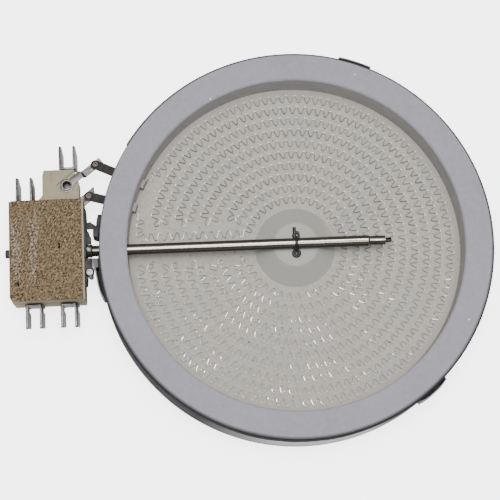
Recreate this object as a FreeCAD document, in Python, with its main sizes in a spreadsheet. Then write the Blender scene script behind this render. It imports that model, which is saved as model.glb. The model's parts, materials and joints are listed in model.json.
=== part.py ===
import FreeCAD
import Part
import math
import os
import re

import Sketcher

# Radiant surface element for a glass-ceramic hob, in millimetres.
# Origin: centre of the dish's underside. +Z up to the glass, +X along the sensor tube, limiter head at -X.

SIZES = {
    # dish, a pressed steel pan
    "dish_radius": 82.5,
    "dish_rim": 26.8,
    "notch_level": 17.6,
    "notch_start": 147.2,
    "notch_stop": 181.5,
    "dish_sheet": 0.5,
    "dish_corner": 3.0,
    "strap_width": 14.4,
    "strap_low": 17.0,
    "strap_high": 25.0,
    "strap_push": 1.7,
    "strap_slit": 0.8,
    "strap_first": -50.5,
    "lug_top": 23.0,
    "fit_gap": 0.1,
    # insulation
    "base_top": 15.5,
    "boss_top": 21.7,
    "boss_foot_radius": 17.0,
    "boss_head_radius": 9.2,
    "ring_top": 28.0,
    "ring_inner_radius": 70.4,
    "ring_edge": 0.6,
    # heating ribbon
    "ribbon_sheet": 0.12,
    "ribbon_height": 2.0,
    "ribbon_swing": 1.65,
    "ribbon_wave": 3.62,
    "turn_radius": 65.8,
    "turn_pitch": 4.97,
    "turn_count": 10,
    "turn_start": 147.0,
    "hairpin_back": 12.6,
    "hairpin_front": 6.0,
    "return_offset": 5.8,
    "return_bend": 2.5,
    "return_climb": 66.2,
    # terminal strips from the ribbon to the outside
    "strip_width": 3.9,
    "strip_sheet": 0.6,
    "strip_level": 18.3,
    "strip_inner": 69.0,
    "strip_slack": 0.4,
    "strip_one_angle": 155.0,
    "strip_one_eye": 91.6,
    "strip_two_angle": 163.8,
    "strip_two_eye": 89.6,
    "eye_radius": 0.9,
    # temperature limiter: tube and rod
    "tube_axis": 23.8,
    "tube_radius": 2.1,
    "tube_bore": 1.4,
    "tube_end": 30.0,
    "tube_crimp_radius": 1.55,
    "tube_crimp_end": 37.2,
    "rod_radius": 0.95,
    "rod_end": 39.9,
    "rod_inside": 3.5,
    "collar_radius": 2.7,
    "collar_length": 2.7,
    "wire_radius": 0.4,
    "wire_loop": 1.3,
    "wire_leg": 4.0,
    "wire_tail": 7.1,
    # limiter head
    "head_right": -88.1,
    "head_width": 30.8,
    "head_front": -20.6,
    "head_back": 21.8,
    "head_low": 12.5,
    "head_high": 26.4,
    "head_wall": 3.0,
    "head_floor": 17.1,
    "head_chamfer": 1.3,
    "cover_sheet": 1.0,
    "cover_inset": 0.4,
    "cover_hole": 0.95,
    "pin_hole_depth": 4.0,
    "wing_reach": 17.1,
    "wing_setback": 1.8,
    "wing_back": 36.0,
    "wing_high": 22.0,
    "wing_step": 1.6,
    "wing_recess": 0.9,
    "channel_half": 3.0,
    # bracket and its screw
    "bracket_sheet": 0.8,
    "bracket_back": 18.5,
    "bracket_front": -13.8,
    "bracket_low": 13.6,
    "hook_level": 20.6,
    "screw_radius": 1.1,
    "screw_head_radius": 1.8,
    "screw_head": 1.6,
    "screw_length": 11.0,
    "screw_across": -9.2,
    "screw_off": 2.1,
    "stop_screw_radius": 1.8,
    "stop_screw_out": 1.8,
    # push-on tabs
    "tab_sheet": 0.8,
    "tab_height": 6.3,
    "tab_spread": 6.6,
    "tab_lean": 1.0,
    "tab_level": 18.5,
    "tab_off": 0.4,
    "tab_neck": 2.4,
    "tab_shoulder": 3.1,
    "tab_corner": 0.5,
    "tab_taper": 3.8,
    "tab_taper_length": 3.2,
    "tab_slant": 1.1,
    "tongue_width": 4.0,
    "tongue_reach": 9.6,
    # link strips between the head and the terminal strips
    "link_width": 3.2,
    "short_link_width": 4.0,
    "link_sheet": 0.6,
    "link_tail": 4.4,
    "link_angle": 38.7,
    "link_inside": 14.4,
    "link_rivet_setback": 6.9,
    "link_rivet_across": 29.2,
    "link_eye": 2.8,
    "rivet_radius": 2.1,
    "rivet_flange": 2.4,
    "rivet_hole": 1.75,
    # switch inside the head
    "leaf_sheet": 0.3,
    "leaf_height": 7.4,
    "signal_leaf_setback": 24.3,
    "power_leaf_setback": 11.1,
    "spring_foot": 6.4,
    "contact_place": 8.0,
    "small_rivet": 0.7,
    "rivet_cap": 1.3,
    "contact_radius": 1.3,
    "contact_height": 0.7,
    "pin_radius": 0.8,
}

UP = FreeCAD.Vector(0, 0, 1)
ALONG = FreeCAD.Vector(1, 0, 0)
ACROSS = FreeCAD.Vector(0, 1, 0)

doc = FreeCAD.newDocument("radiant_surface_element")
sheet = doc.addObject("Spreadsheet::Sheet", "Sizes")
for row, (alias, size) in enumerate(SIZES.items(), start=1):
    sheet.set(f"A{row}", alias)
    sheet.set(f"B{row}", str(size))
    sheet.setAlias(f"B{row}", alias)
doc.recompute()

finished = []


def size(expression):
    """The number that an expression of the sheet's sizes gives now."""
    return float(sheet.evalExpression(str(expression)))


def linked(expression):
    """The expression with each size's name written as a cell of the sheet."""
    def cell(match):
        word = match.group()
        return "Sizes." + word if word in SIZES else word
    return re.sub(r"[a-z][a-z_]+", cell, str(expression))


def bind(thing, place, expression):
    """Ties one property of a document object to the sheet."""
    thing.setExpression(place, linked(expression))


def node(thing, label):
    """Marks an object as one finished piece of the element."""
    thing.Label = label
    finished.append(thing)
    return thing


def put(thing, x="0", y="0", z="0", turn=None, axis=UP):
    """Places an object, with an optional turn in degrees about an axis."""
    thing.Placement.Rotation = FreeCAD.Rotation(axis, 0 if turn is None else size(turn))
    for letter, place in zip("xyz", (x, y, z)):
        bind(thing, "Placement.Base." + letter, place)
    if turn is not None:
        bind(thing, "Placement.Rotation.Angle", f"({turn}) * 1 deg")
    return thing


# Part primitives and booleans

def block(name, low, high, turn=None):
    """A block between two corners, turned about the dish's axis."""
    thing = doc.addObject("Part::Box", name)
    for side, start, stop in zip(("Length", "Width", "Height"), low, high):
        bind(thing, side, f"({stop}) - ({start})")
    if turn is None:
        return put(thing, *low)
    x, y, z = low
    cosine = f"cos(({turn}) * 1 deg)"
    sine = f"sin(({turn}) * 1 deg)"
    return put(thing, f"({x}) * {cosine} - ({y}) * {sine}", f"({x}) * {sine} + ({y}) * {cosine}", z, turn)


def rod(name, radius, length, start, direction=UP):
    """A cylinder from a start point along one axis."""
    thing = doc.addObject("Part::Cylinder", name)
    bind(thing, "Radius", radius)
    bind(thing, "Height", length)
    thing.Placement.Rotation = FreeCAD.Rotation(UP, direction)
    for letter, place in zip("xyz", start):
        bind(thing, "Placement.Base." + letter, place)
    return thing


def fuse(name, pieces):
    thing = doc.addObject("Part::MultiFuse", name)
    thing.Shapes = pieces
    thing.Refine = True
    return thing


def cut(name, base, tools):
    thing = doc.addObject("Part::Cut", name)
    thing.Base = base
    thing.Tool = tools[0] if len(tools) == 1 else fuse(name + "_tools", tools)
    thing.Refine = True
    return thing


# PartDesign bodies

def new_body(name):
    return doc.addObject("PartDesign::Body", name)


def outline(body, name, plane, corners, offset="0"):
    """A closed sketch through corners given as pairs of expressions."""
    sketch = body.newObject("Sketcher::SketchObject", name)
    support = [item for item in body.Origin.OriginFeatures if item.Role == plane]
    sketch.AttachmentSupport = [(support[0], "")]
    sketch.MapMode = "FlatFace"
    bind(sketch, "AttachmentOffset.Base.z", offset)
    points = [FreeCAD.Vector(size(x), size(y), 0) for x, y in corners]
    count = len(points)
    for index in range(count):
        sketch.addGeometry(Part.LineSegment(points[index], points[(index + 1) % count]), False)
    for index in range(count):
        sketch.addConstraint(Sketcher.Constraint("Coincident", index, 2, (index + 1) % count, 1))
    for index, (x, y) in enumerate(corners):
        for kind, place in (("DistanceX", x), ("DistanceY", y)):
            number = sketch.addConstraint(Sketcher.Constraint(kind, -1, 1, index, 1, size(place)))
            bind(sketch, f"Constraints[{number}]", place)
    return sketch


def circle(body, name, plane, centre, radius, offset="0"):
    """A sketch with one circle."""
    sketch = body.newObject("Sketcher::SketchObject", name)
    support = [item for item in body.Origin.OriginFeatures if item.Role == plane]
    sketch.AttachmentSupport = [(support[0], "")]
    sketch.MapMode = "FlatFace"
    bind(sketch, "AttachmentOffset.Base.z", offset)
    x, y = centre
    middle = FreeCAD.Vector(size(x), size(y), 0)
    sketch.addGeometry(Part.Circle(middle, UP, size(radius)), False)
    for kind, place in (("DistanceX", x), ("DistanceY", y)):
        number = sketch.addConstraint(Sketcher.Constraint(kind, -1, 1, 0, 3, size(place)))
        bind(sketch, f"Constraints[{number}]", place)
    number = sketch.addConstraint(Sketcher.Constraint("Radius", 0, size(radius)))
    bind(sketch, f"Constraints[{number}]", radius)
    return sketch


def pad(body, sketch, length, backwards=False):
    feature = body.newObject("PartDesign::Pad", sketch.Name + "_pad")
    feature.Profile = sketch
    bind(feature, "Length", length)
    feature.Reversed = backwards
    return feature


def pocket(body, sketch, depth, backwards=False):
    feature = body.newObject("PartDesign::Pocket", sketch.Name + "_pocket")
    feature.Profile = sketch
    bind(feature, "Length", depth)
    feature.Reversed = backwards
    return feature


def turned(name, corners, axis="V_Axis"):
    """A body turned about the upright axis, or about its own X axis with H_Axis."""
    body = new_body(name)
    sketch = outline(body, name + "_profile", "XZ_Plane", corners)
    feature = body.newObject("PartDesign::Revolution", name + "_turning")
    feature.Profile = sketch
    feature.ReferenceAxis = (sketch, [axis])
    feature.Angle = 360
    return body


def dressed(body, kind, amount, wanted):
    """A fillet or chamfer on the edges of the body's tip that a test picks."""
    doc.recompute()
    base = body.Tip
    edges = [f"Edge{number}" for number, edge in enumerate(base.Shape.Edges, start=1) if wanted(edge)]
    if not edges:
        raise RuntimeError(f"{body.Name}: no edge to dress")
    feature = body.newObject("PartDesign::" + kind, f"{body.Name}_{kind.lower()}")
    feature.Base = (base, edges)
    bind(feature, "Radius" if kind == "Fillet" else "Size", amount)
    return feature


def ring_edge_at(radius, height):
    """A test for the round edge of one radius at one height."""
    def wanted(edge):
        curve = edge.Curve
        if not isinstance(curve, Part.Circle):
            return False
        low = edge.BoundBox.ZMin
        return abs(curve.Radius - size(radius)) < 1e-4 and abs(low - size(height)) < 1e-4
    return wanted


def upright_edge_at(x, y):
    """A test for an upright edge at one place of the body's own plan."""
    def wanted(edge):
        box = edge.BoundBox
        level = box.ZLength > 0.1 and box.XLength < 1e-4 and box.YLength < 1e-4
        return level and abs(box.XMin - size(x)) < 1e-4 and abs(box.YMin - size(y)) < 1e-4
    return wanted


# Names for faces and places that several pieces share
DISH_INSIDE = "(dish_radius - dish_sheet)"
RING_OUTSIDE = "(dish_radius - dish_sheet - fit_gap)"
HEAD_LEFT = "(head_right - head_width)"
POCKET_LEFT = "(head_right - head_width + head_wall)"
POCKET_RIGHT = "(head_right - head_wall)"
POCKET_FRONT = "(head_front + head_wall)"
POCKET_BACK = "(head_back - head_wall)"
WING_LEFT = "(head_right - wing_reach)"
WING_RIGHT = "(head_right - wing_setback)"
LINK_RIVET_X = "(head_right - link_rivet_setback)"
SIGNAL_LEAF = "(head_right - signal_leaf_setback)"
POWER_LEAF = "(head_right - power_leaf_setback)"
SCREW_X = "(head_right + screw_off)"
BRACKET_FACE = "(head_right + bracket_sheet)"
LUG_LOW = "(lug_top - dish_sheet)"
TAB_LOW = "(tab_level - tab_height / 2)"
LINK_LOW = "(strip_level - link_sheet)"
DECK = "(head_floor + tab_sheet)"
FIXED_GAP = "(leaf_sheet + 2 * contact_height)"
ROD_INNER = "(head_right - head_wall - rod_inside)"
SHORT_EYE_X = "(strip_two_eye * cos(strip_two_angle * 1 deg))"
SHORT_EYE_Y = "(strip_two_eye * sin(strip_two_angle * 1 deg))"
LONG_EYE_X = "(strip_one_eye * cos(strip_one_angle * 1 deg))"
LONG_EYE_Y = "(strip_one_eye * sin(strip_one_angle * 1 deg))"
LONG_TURN = f"(atan(({LONG_EYE_Y} - link_rivet_across) / ({LONG_EYE_X} - {LINK_RIVET_X})) / 1 deg)"
SHELF = "(wing_high - wing_recess)"
LINK_END_X = f"({SHORT_EYE_X} - (link_inside - 1.5) * cos(link_angle * 1 deg))"
LINK_END_Y = f"({SHORT_EYE_Y} - (link_inside - 1.5) * sin(link_angle * 1 deg))"
COVER_HOLE = (f"{HEAD_LEFT} + 3.3", "head_front + 6.9")
STRIPS = (("strip_one_angle", "strip_one_eye"), ("strip_two_angle", "strip_two_eye"))


def make_dish():
    """A pan with three pushed-out straps, a lowered rim where strips and tube pass, and a screw lug."""
    shell = turned("dish_shell", [
        ("0", "0"),
        ("dish_radius", "0"),
        ("dish_radius", "dish_rim"),
        (DISH_INSIDE, "dish_rim"),
        (DISH_INSIDE, "dish_sheet"),
        ("0", "dish_sheet"),
    ])
    dressed(shell, "Fillet", "dish_corner", ring_edge_at("dish_radius", "0"))
    dressed(shell, "Fillet", "dish_corner - dish_sheet", ring_edge_at(DISH_INSIDE, "dish_sheet"))

    lug = new_body("dish_lug")
    plan = outline(lug, "lug_plan", "XY_Plane", [
        ("-dish_radius + 1", "-2.9"),
        (f"{SCREW_X} + 1", "-2.9"),
        (f"{BRACKET_FACE} + fit_gap", "-4.8"),
        (f"{BRACKET_FACE} + fit_gap", "screw_across - screw_head_radius"),
        (f"{SCREW_X} + 1.4", "screw_across - screw_head_radius"),
        (f"{SCREW_X} + 1.9", "-7.6"),
        ("-dish_radius + 1", "-7.6"),
    ], LUG_LOW)
    pad(lug, plan, "dish_sheet")
    hole = circle(lug, "lug_hole", "XY_Plane", (SCREW_X, "screw_across"), "screw_radius", "lug_top + 1")
    pocket(lug, hole, "3")

    solids = [shell, lug]
    windows = [notch()]
    for number in range(3):
        turn = f"strap_first + {120 * number}"
        if size(turn) > 180:
            turn += " - 360"
        solids.append(block(f"strap_{number}", ("dish_radius - 2", "-strap_width / 2", "strap_low"),
                            ("dish_radius + strap_push", "strap_width / 2", "strap_high"), turn))
        windows.append(block(f"strap_space_{number}",
                             ("dish_radius - 4", "-strap_width / 2 + dish_sheet", "strap_low - strap_slit"),
                             ("dish_radius + strap_push - dish_sheet", "strap_width / 2 - dish_sheet",
                              "strap_high + strap_slit"), turn))
    windows.append(rod("dish_inside", DISH_INSIDE, "dish_rim", ("0", "0", "dish_corner + dish_sheet")))
    node(cut("dish", fuse("dish_solids", solids), windows), "dish")


def notch():
    """The stretch where the pan's rim is lowered."""
    thing = rod("rim_notch", "dish_radius + 1", "dish_rim", ("0", "0", "notch_level"))
    bind(thing, "Angle", "(notch_stop - notch_start) * 1 deg")
    thing.Placement.Rotation = FreeCAD.Rotation(UP, size("notch_start"))
    bind(thing, "Placement.Rotation.Angle", "notch_start * 1 deg")
    return thing


def strip_slot(name, angle):
    """The way that a terminal strip takes through the dish and the ring."""
    half = "(strip_width / 2 + strip_slack)"
    return block(name, ("ring_inner_radius - 3", "-" + half, "strip_level - strip_slack"),
                 ("dish_radius + 1", half, "strip_level + strip_sheet + strip_slack"), angle)


def make_insulation():
    """The pressed base with its boss, and the ring that stands on it."""
    corner = "(dish_corner - dish_sheet)"
    base = turned("base_disc", [
        ("0", "dish_sheet"),
        (f"{RING_OUTSIDE} - {corner}", "dish_sheet"),
        (RING_OUTSIDE, f"dish_sheet + {corner}"),
        (RING_OUTSIDE, "base_top"),
        ("boss_foot_radius", "base_top"),
        ("boss_head_radius", "boss_top"),
        ("0", "boss_top"),
    ])
    tools = [rod("tube_groove", "tube_radius + fit_gap", "2 * boss_foot_radius",
                 ("-boss_foot_radius", "0", "tube_axis"), ALONG)]
    for number, side in enumerate((-1, 1)):
        tools.append(rod(f"wire_hole_{number}", "wire_radius + fit_gap", "wire_leg + fit_gap",
                         ("0", f"{side} * (tube_radius + fit_gap + wire_radius)",
                          "boss_top - wire_leg - fit_gap")))
    node(cut("base_insulation", base, tools), "base_insulation")

    ring = turned("ring_blank", [
        ("ring_inner_radius", "base_top"),
        (RING_OUTSIDE, "base_top"),
        (RING_OUTSIDE, "ring_top - ring_edge"),
        (f"{RING_OUTSIDE} - ring_edge", "ring_top"),
        ("ring_inner_radius + ring_edge", "ring_top"),
        ("ring_inner_radius", "ring_top - ring_edge"),
    ])
    tools = [strip_slot(f"ring_slot_{number}", angle) for number, (angle, eye) in enumerate(STRIPS, start=1)]
    tools.append(rod("ring_bore", "tube_radius + 0.5", "dish_radius - ring_inner_radius + 6",
                     ("-dish_radius - 3", "0", "tube_axis"), ALONG))
    node(cut("wall_ring", ring, tools), "wall_ring")


def arc_run(centre, radius, start, stop):
    """A stretch of route on a circle, from one angle to another in radians."""
    length = radius * abs(stop - start)

    def at(distance):
        angle = start + (stop - start) * distance / length
        spot = (centre[0] + radius * math.cos(angle), centre[1] + radius * math.sin(angle))
        side = 1 if stop < start else -1
        return spot, (side * math.cos(angle), side * math.sin(angle))
    return length, at


def line_run(start, stop):
    """A straight stretch of route."""
    length = math.hypot(stop[0] - start[0], stop[1] - start[1])
    along = ((stop[0] - start[0]) / length, (stop[1] - start[1]) / length)

    def at(distance):
        return (start[0] + along[0] * distance, start[1] + along[1] * distance), (-along[1], along[0])
    return length, at


def polar(radius, angle):
    return radius * math.cos(angle), radius * math.sin(angle)


def ribbon_route():
    """The ribbon's middle line: out from one terminal, round ten turns and back to the other."""
    pitch = size("turn_pitch")
    count = int(size("turn_count"))
    radii = [size("turn_radius") - pitch * number for number in range(count)]
    first = weld_ends("strip_one_angle", -1)[1]
    angle = math.radians(size("turn_start"))
    runs = [line_run(first, polar(radii[0], angle))]
    way = -1
    for number, radius in enumerate(radii[:-1]):
        middle = radius - pitch / 2
        if way < 0:
            stop = -math.pi + math.asin(size("hairpin_front") / middle)
        else:
            stop = math.pi - math.asin(size("hairpin_back") / middle)
        runs.append(arc_run((0, 0), radius, angle, stop))
        hub = polar(middle, stop)
        runs.append(arc_run(hub, pitch / 2, stop, stop + way * math.pi))
        angle = stop
        way = -way
    # the last turn leaves towards the dish's edge, beside the tube
    bend = size("return_bend")
    side = size("return_offset")
    last = radii[-1]
    leave = math.pi - math.asin((side + bend) / (last + bend))
    runs.append(arc_run((0, 0), last, angle, leave))
    hub = polar(last + bend, leave)
    runs.append(arc_run(hub, bend, leave - math.pi, -math.pi / 2))
    climb = size("return_climb")
    turn = math.pi - math.asin((side + bend) / (climb - bend))
    second_hub = polar(climb - bend, turn)
    runs.append(line_run((hub[0], side), (second_hub[0], side)))
    runs.append(arc_run(second_hub, bend, 1.5 * math.pi, turn))
    near = math.radians(size("strip_two_angle") + 3.5)
    runs.append(arc_run((0, 0), climb, turn, near))
    runs.append(line_run(polar(climb, near), weld_ends("strip_two_angle", 1)[1]))
    return runs


def weld_ends(angle, way):
    """The two ends of the ribbon's flat tail against a terminal strip, the far one first."""
    turn = math.radians(size(angle))
    radius = size("strip_inner") - size("ribbon_sheet") / 2 - 0.02
    half = size("strip_width") / 2 - 0.2
    middle = polar(radius, turn)
    side = (-math.sin(turn) * half * way, math.cos(turn) * half * way)
    return (middle[0] - side[0], middle[1] - side[1]), (middle[0] + side[0], middle[1] + side[1])


def ribbon_bends():
    """The corners of the zigzag along the route."""
    runs = ribbon_route()
    total = sum(length for length, at in runs)
    flats = round(total / (size("ribbon_wave") / 2))
    swing = size("ribbon_swing")
    bends = []
    passed = 0.0
    remaining = list(runs)
    for number in range(flats + 1):
        distance = total * number / flats
        while len(remaining) > 1 and distance > passed + remaining[0][0]:
            passed += remaining.pop(0)[0]
        length, at = remaining[0]
        spot, normal = at(min(distance - passed, length))
        offset = 0 if number in (0, flats) else swing * (1 if number % 2 else -1)
        bends.append(FreeCAD.Vector(spot[0] + normal[0] * offset, spot[1] + normal[1] * offset, 0))
    bends.insert(0, FreeCAD.Vector(*weld_ends("strip_one_angle", -1)[0], 0))
    bends.append(FreeCAD.Vector(*weld_ends("strip_two_angle", 1)[0], 0))
    return bends


def make_ribbon():
    """A thin upright strip folded into a zigzag, standing on the base in ten turns."""
    bends = ribbon_bends()
    half = size("ribbon_sheet") / 2
    normals = []
    for start, stop in zip(bends[:-1], bends[1:]):
        along = (stop - start).normalize()
        normals.append(FreeCAD.Vector(-along.y, along.x, 0))
    left = []
    right = []
    for number, bend in enumerate(bends):
        before = normals[max(number - 1, 0)]
        after = normals[min(number, len(normals) - 1)]
        mitre = (before + after) * (half / (1 + before.dot(after)))
        left.append(bend + mitre)
        right.append(bend - mitre)
    corners = left + right[::-1]
    face = Part.Face(Part.makePolygon(corners + [corners[0]]))
    ribbon = doc.addObject("Part::Feature", "heating_ribbon")
    ribbon.Shape = face.extrude(FreeCAD.Vector(0, 0, size("ribbon_height")))
    ribbon.Placement.Base.z = size("base_top")
    node(ribbon, "heating_ribbon")


def make_terminal_strip(label, angle, eye):
    """A flat strap from outside the dish to the ribbon, its inner end bent down."""
    body = new_body(label)
    profile = outline(body, label + "_side", "XZ_Plane", [
        ("strip_inner", "base_top"),
        ("strip_inner + strip_sheet", "base_top"),
        ("strip_inner + strip_sheet", "strip_level"),
        (f"{eye} + strip_width / 2", "strip_level"),
        (f"{eye} + strip_width / 2", "strip_level + strip_sheet"),
        ("strip_inner", "strip_level + strip_sheet"),
    ], "-strip_width / 2")
    pad(body, profile, "strip_width")
    hole = circle(body, label + "_eye", "XY_Plane", (eye, "0"), "eye_radius", "strip_level + strip_sheet + 1")
    pocket(body, hole, "strip_sheet + 2")

    def end_edge(edge):
        box = edge.BoundBox
        return box.ZLength > 0.1 and box.YLength < 1e-4 and abs(box.XMin - size(f"{eye} + strip_width / 2")) < 1e-4
    dressed(body, "Fillet", "strip_width / 2 - 0.05", end_edge)
    put(body, "0", "0", "0", angle)
    node(body, label)


def make_tube():
    """The sensor tube with its crimped end, the rod inside it, the collar at the head and the wire clip."""
    start = "(head_right - head_wall)"
    tube = turned("sensor_tube", [
        (start, "tube_bore"),
        (start, "tube_radius"),
        ("tube_end", "tube_radius"),
        ("tube_end + 1", "tube_crimp_radius"),
        ("tube_crimp_end", "tube_crimp_radius"),
        ("tube_crimp_end", "rod_radius + fit_gap / 2"),
        ("tube_end + 1", "rod_radius + fit_gap / 2"),
        ("tube_end", "tube_bore"),
    ], "H_Axis")
    put(tube, "0", "0", "tube_axis")
    node(tube, "sensor_tube")

    inner = turned("expansion_rod", [
        (f"{start} - rod_inside", "0"),
        (f"{start} - rod_inside", "rod_radius"),
        ("rod_end - 0.3", "rod_radius"),
        ("rod_end", "rod_radius - 0.3"),
        ("rod_end", "0"),
    ], "H_Axis")
    put(inner, "0", "0", "tube_axis")
    node(inner, "expansion_rod")

    collar = turned("tube_collar", [
        (BRACKET_FACE, "tube_radius + fit_gap / 2"),
        (BRACKET_FACE, "collar_radius - 0.3"),
        (f"{BRACKET_FACE} + 0.3", "collar_radius"),
        (f"{BRACKET_FACE} + collar_length - 0.3", "collar_radius"),
        (f"{BRACKET_FACE} + collar_length", "collar_radius - 0.3"),
        (f"{BRACKET_FACE} + collar_length", "tube_radius + fit_gap / 2"),
    ], "H_Axis")
    put(collar, "0", "0", "tube_axis")
    node(collar, "tube_collar")
    make_clip()


def make_clip():
    """A wire staple over the tube, pinned in the boss, with a loop at each foot."""
    bend = "(tube_radius + fit_gap + wire_radius)"
    body = new_body("clip_arch")
    section = circle(body, "clip_section", "XY_Plane", ("0", "-" + bend), "wire_radius", "boss_top - wire_leg")
    path = body.newObject("Sketcher::SketchObject", "clip_path")
    support = [item for item in body.Origin.OriginFeatures if item.Role == "YZ_Plane"]
    path.AttachmentSupport = [(support[0], "")]
    path.MapMode = "FlatFace"
    reach = size(bend)
    foot = size("boss_top - wire_leg")
    crown = size("tube_axis")
    path.addGeometry(Part.LineSegment(FreeCAD.Vector(-reach, foot, 0), FreeCAD.Vector(-reach, crown, 0)), False)
    middle = Part.Circle(FreeCAD.Vector(0, crown, 0), UP, reach)
    path.addGeometry(Part.ArcOfCircle(middle, 0, math.pi), False)
    path.addGeometry(Part.LineSegment(FreeCAD.Vector(reach, crown, 0), FreeCAD.Vector(reach, foot, 0)), False)
    path.addConstraint(Sketcher.Constraint("Tangent", 0, 2, 1, 2))
    path.addConstraint(Sketcher.Constraint("Tangent", 1, 1, 2, 1))
    path.addConstraint(Sketcher.Constraint("Vertical", 0))
    for kind, piece, end, place in (("DistanceX", 0, 1, "-" + bend), ("DistanceY", 0, 1, "boss_top - wire_leg"),
                                    ("DistanceX", 2, 2, bend), ("DistanceY", 2, 2, "boss_top - wire_leg"),
                                    ("DistanceY", 1, 3, "tube_axis")):
        number = path.addConstraint(Sketcher.Constraint(kind, -1, 1, piece, end, size(place)))
        bind(path, f"Constraints[{number}]", place)
    sweep = body.newObject("PartDesign::AdditivePipe", "clip_wire")
    sweep.Profile = section
    sweep.Spine = path

    pieces = [body]
    for number, side in enumerate((-1, 1)):
        loop = doc.addObject("Part::Torus", f"clip_loop_{number}")
        bind(loop, "Radius1", "wire_loop")
        bind(loop, "Radius2", "wire_radius")
        put(loop, f"{number} * wire_loop / 2", f"{side} * ({bend} + wire_loop * {0.87 if number else 1})",
            "boss_top + wire_radius")
        pieces.append(loop)
    pieces.append(rod("clip_tail", "wire_radius", f"wire_tail - {bend}",
                      ("-wire_radius", bend, "boss_top + wire_radius"), ACROSS))
    node(fuse("tube_clip", pieces), "tube_clip")


TABS = (
    # label, middle across the head, face of the web, way it points, reach past that face, height of its tongue
    ("tab_terminal_top", "head_right - 6.3", "(wing_back + tab_off)", 1, "10.2", "tab_level - 2.6"),
    ("tab_terminal_back", "head_right - 24.5", "head_back", 1, "11.5", "head_floor"),
    ("tab_terminal_front_left", "head_right - 21.1", "(head_front - tab_off)", -1, "10.3", "head_floor"),
    ("tab_terminal_front_right", "head_right - 6.7", "(head_front - tab_off)", -1, "10.3", "head_floor"),
)

FLOOR_RIVETS = (
    (f"{SIGNAL_LEAF} + spring_foot / 2 + leaf_sheet", f"{POCKET_FRONT} + 2.3"),
    (f"{POWER_LEAF} + spring_foot / 2 + leaf_sheet", f"{POCKET_FRONT} + 2.3"),
    (f"{SIGNAL_LEAF} + {FIXED_GAP} - 1.5", f"{POCKET_BACK} - 2.3"),
    (LINK_END_X, LINK_END_Y),
)
TAB_RIVETS = {
    "tab_terminal_top": (LINK_RIVET_X, "link_rivet_across", "rivet_radius + fit_gap / 2"),
    "tab_terminal_back": (*FLOOR_RIVETS[2], "small_rivet"),
    "tab_terminal_front_left": (*FLOOR_RIVETS[0], "small_rivet"),
    "tab_terminal_front_right": (*FLOOR_RIVETS[1], "small_rivet"),
}


def make_tab_terminal(label, middle, face, way, reach, tongue):
    """A strip folded to a U: a web on the head's face, two push-on blades and a tongue into the head."""
    body = new_body(label)
    low = "(-tab_height / 2)"
    half = "(tab_spread / 2)"
    away = way > 0
    for number, side in enumerate((-1, 1)):
        foot = f"({side} * ({half} - tab_sheet / 2) + tab_lean / 2)"
        blade = outline(body, f"{label}_blade_{number}", "XZ_Plane", [
            (f"{foot} - tab_sheet / 2", low),
            (f"{foot} + tab_sheet / 2", low),
            (f"{foot} + tab_sheet / 2 - tab_lean", f"{low} + tab_height"),
            (f"{foot} - tab_sheet / 2 - tab_lean", f"{low} + tab_height"),
        ])
        pad(body, blade, reach, away)
    web = outline(body, label + "_web", "XZ_Plane", [
        (f"-{half} + tab_lean / 2", low),
        (f"{half} + tab_lean / 2", low),
        (f"{half} - tab_lean / 2", f"{low} + tab_height"),
        (f"-{half} - tab_lean / 2", f"{low} + tab_height"),
    ])
    pad(body, web, "tab_sheet", away)
    tongue_low = f"({tongue} - tab_level)"
    foot = outline(body, label + "_tongue", "XZ_Plane", [
        ("-tongue_width / 2", tongue_low),
        ("tongue_width / 2", tongue_low),
        ("tongue_width / 2", f"{tongue_low} + tab_sheet"),
        ("-tongue_width / 2", f"{tongue_low} + tab_sheet"),
    ])
    pad(body, foot, "tongue_reach", not away)
    # pointed tips at the back; at the front a neck under the web and a slanting end
    sign = "1" if away else "-1"
    under = f"({low} - 1)"
    top = f"({low} + tab_height)"
    if away:
        shaped = [("tip", [
            (f"{sign} * ({reach} - tab_taper_length)", under),
            (f"{sign} * ({reach} - tab_taper_length)", low),
            (f"{sign} * {reach}", f"{low} + tab_taper"),
            (f"{sign} * ({reach} + 1)", f"{low} + tab_taper"),
            (f"{sign} * ({reach} + 1)", under),
        ])]
    else:
        shaped = [("neck", [
            (f"{sign} * (tab_sheet + 0.2)", under),
            (f"{sign} * (tab_sheet + 0.2)", f"{low} + tab_neck"),
            (f"{sign} * (tab_shoulder - 0.5)", f"{low} + tab_neck"),
            (f"{sign} * (tab_shoulder + 0.4)", low),
            (f"{sign} * (tab_shoulder + 0.4)", under),
        ]), ("tip", [
            (f"{sign} * ({reach} - tab_slant)", under),
            (f"{sign} * ({reach} - tab_slant)", low),
            (f"{sign} * {reach}", f"{top} - tab_corner"),
            (f"{sign} * ({reach} + 1)", f"{top} - tab_corner"),
            (f"{sign} * ({reach} + 1)", under),
        ])]
    shaped.append(("corner", [
        (f"{sign} * ({reach} - tab_corner)", f"{top} + 1"),
        (f"{sign} * ({reach} - tab_corner)", top),
        (f"{sign} * {reach}", f"{top} - tab_corner"),
        (f"{sign} * ({reach} + 1)", f"{top} - tab_corner"),
        (f"{sign} * ({reach} + 1)", f"{top} + 1"),
    ]))
    for name, corners in shaped:
        shape = outline(body, f"{label}_{name}", "YZ_Plane", corners, "-tab_spread")
        pocket(body, shape, "2 * tab_spread", True)
    rivet_x, rivet_y, radius = TAB_RIVETS[label]
    bore = circle(body, label + "_bore", "XY_Plane", (f"{rivet_x} - ({middle})", f"{rivet_y} - {face}"), radius,
                  "tab_height")
    pocket(body, bore, "2 * tab_height")
    put(body, middle, face, "tab_level")
    return body


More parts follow.
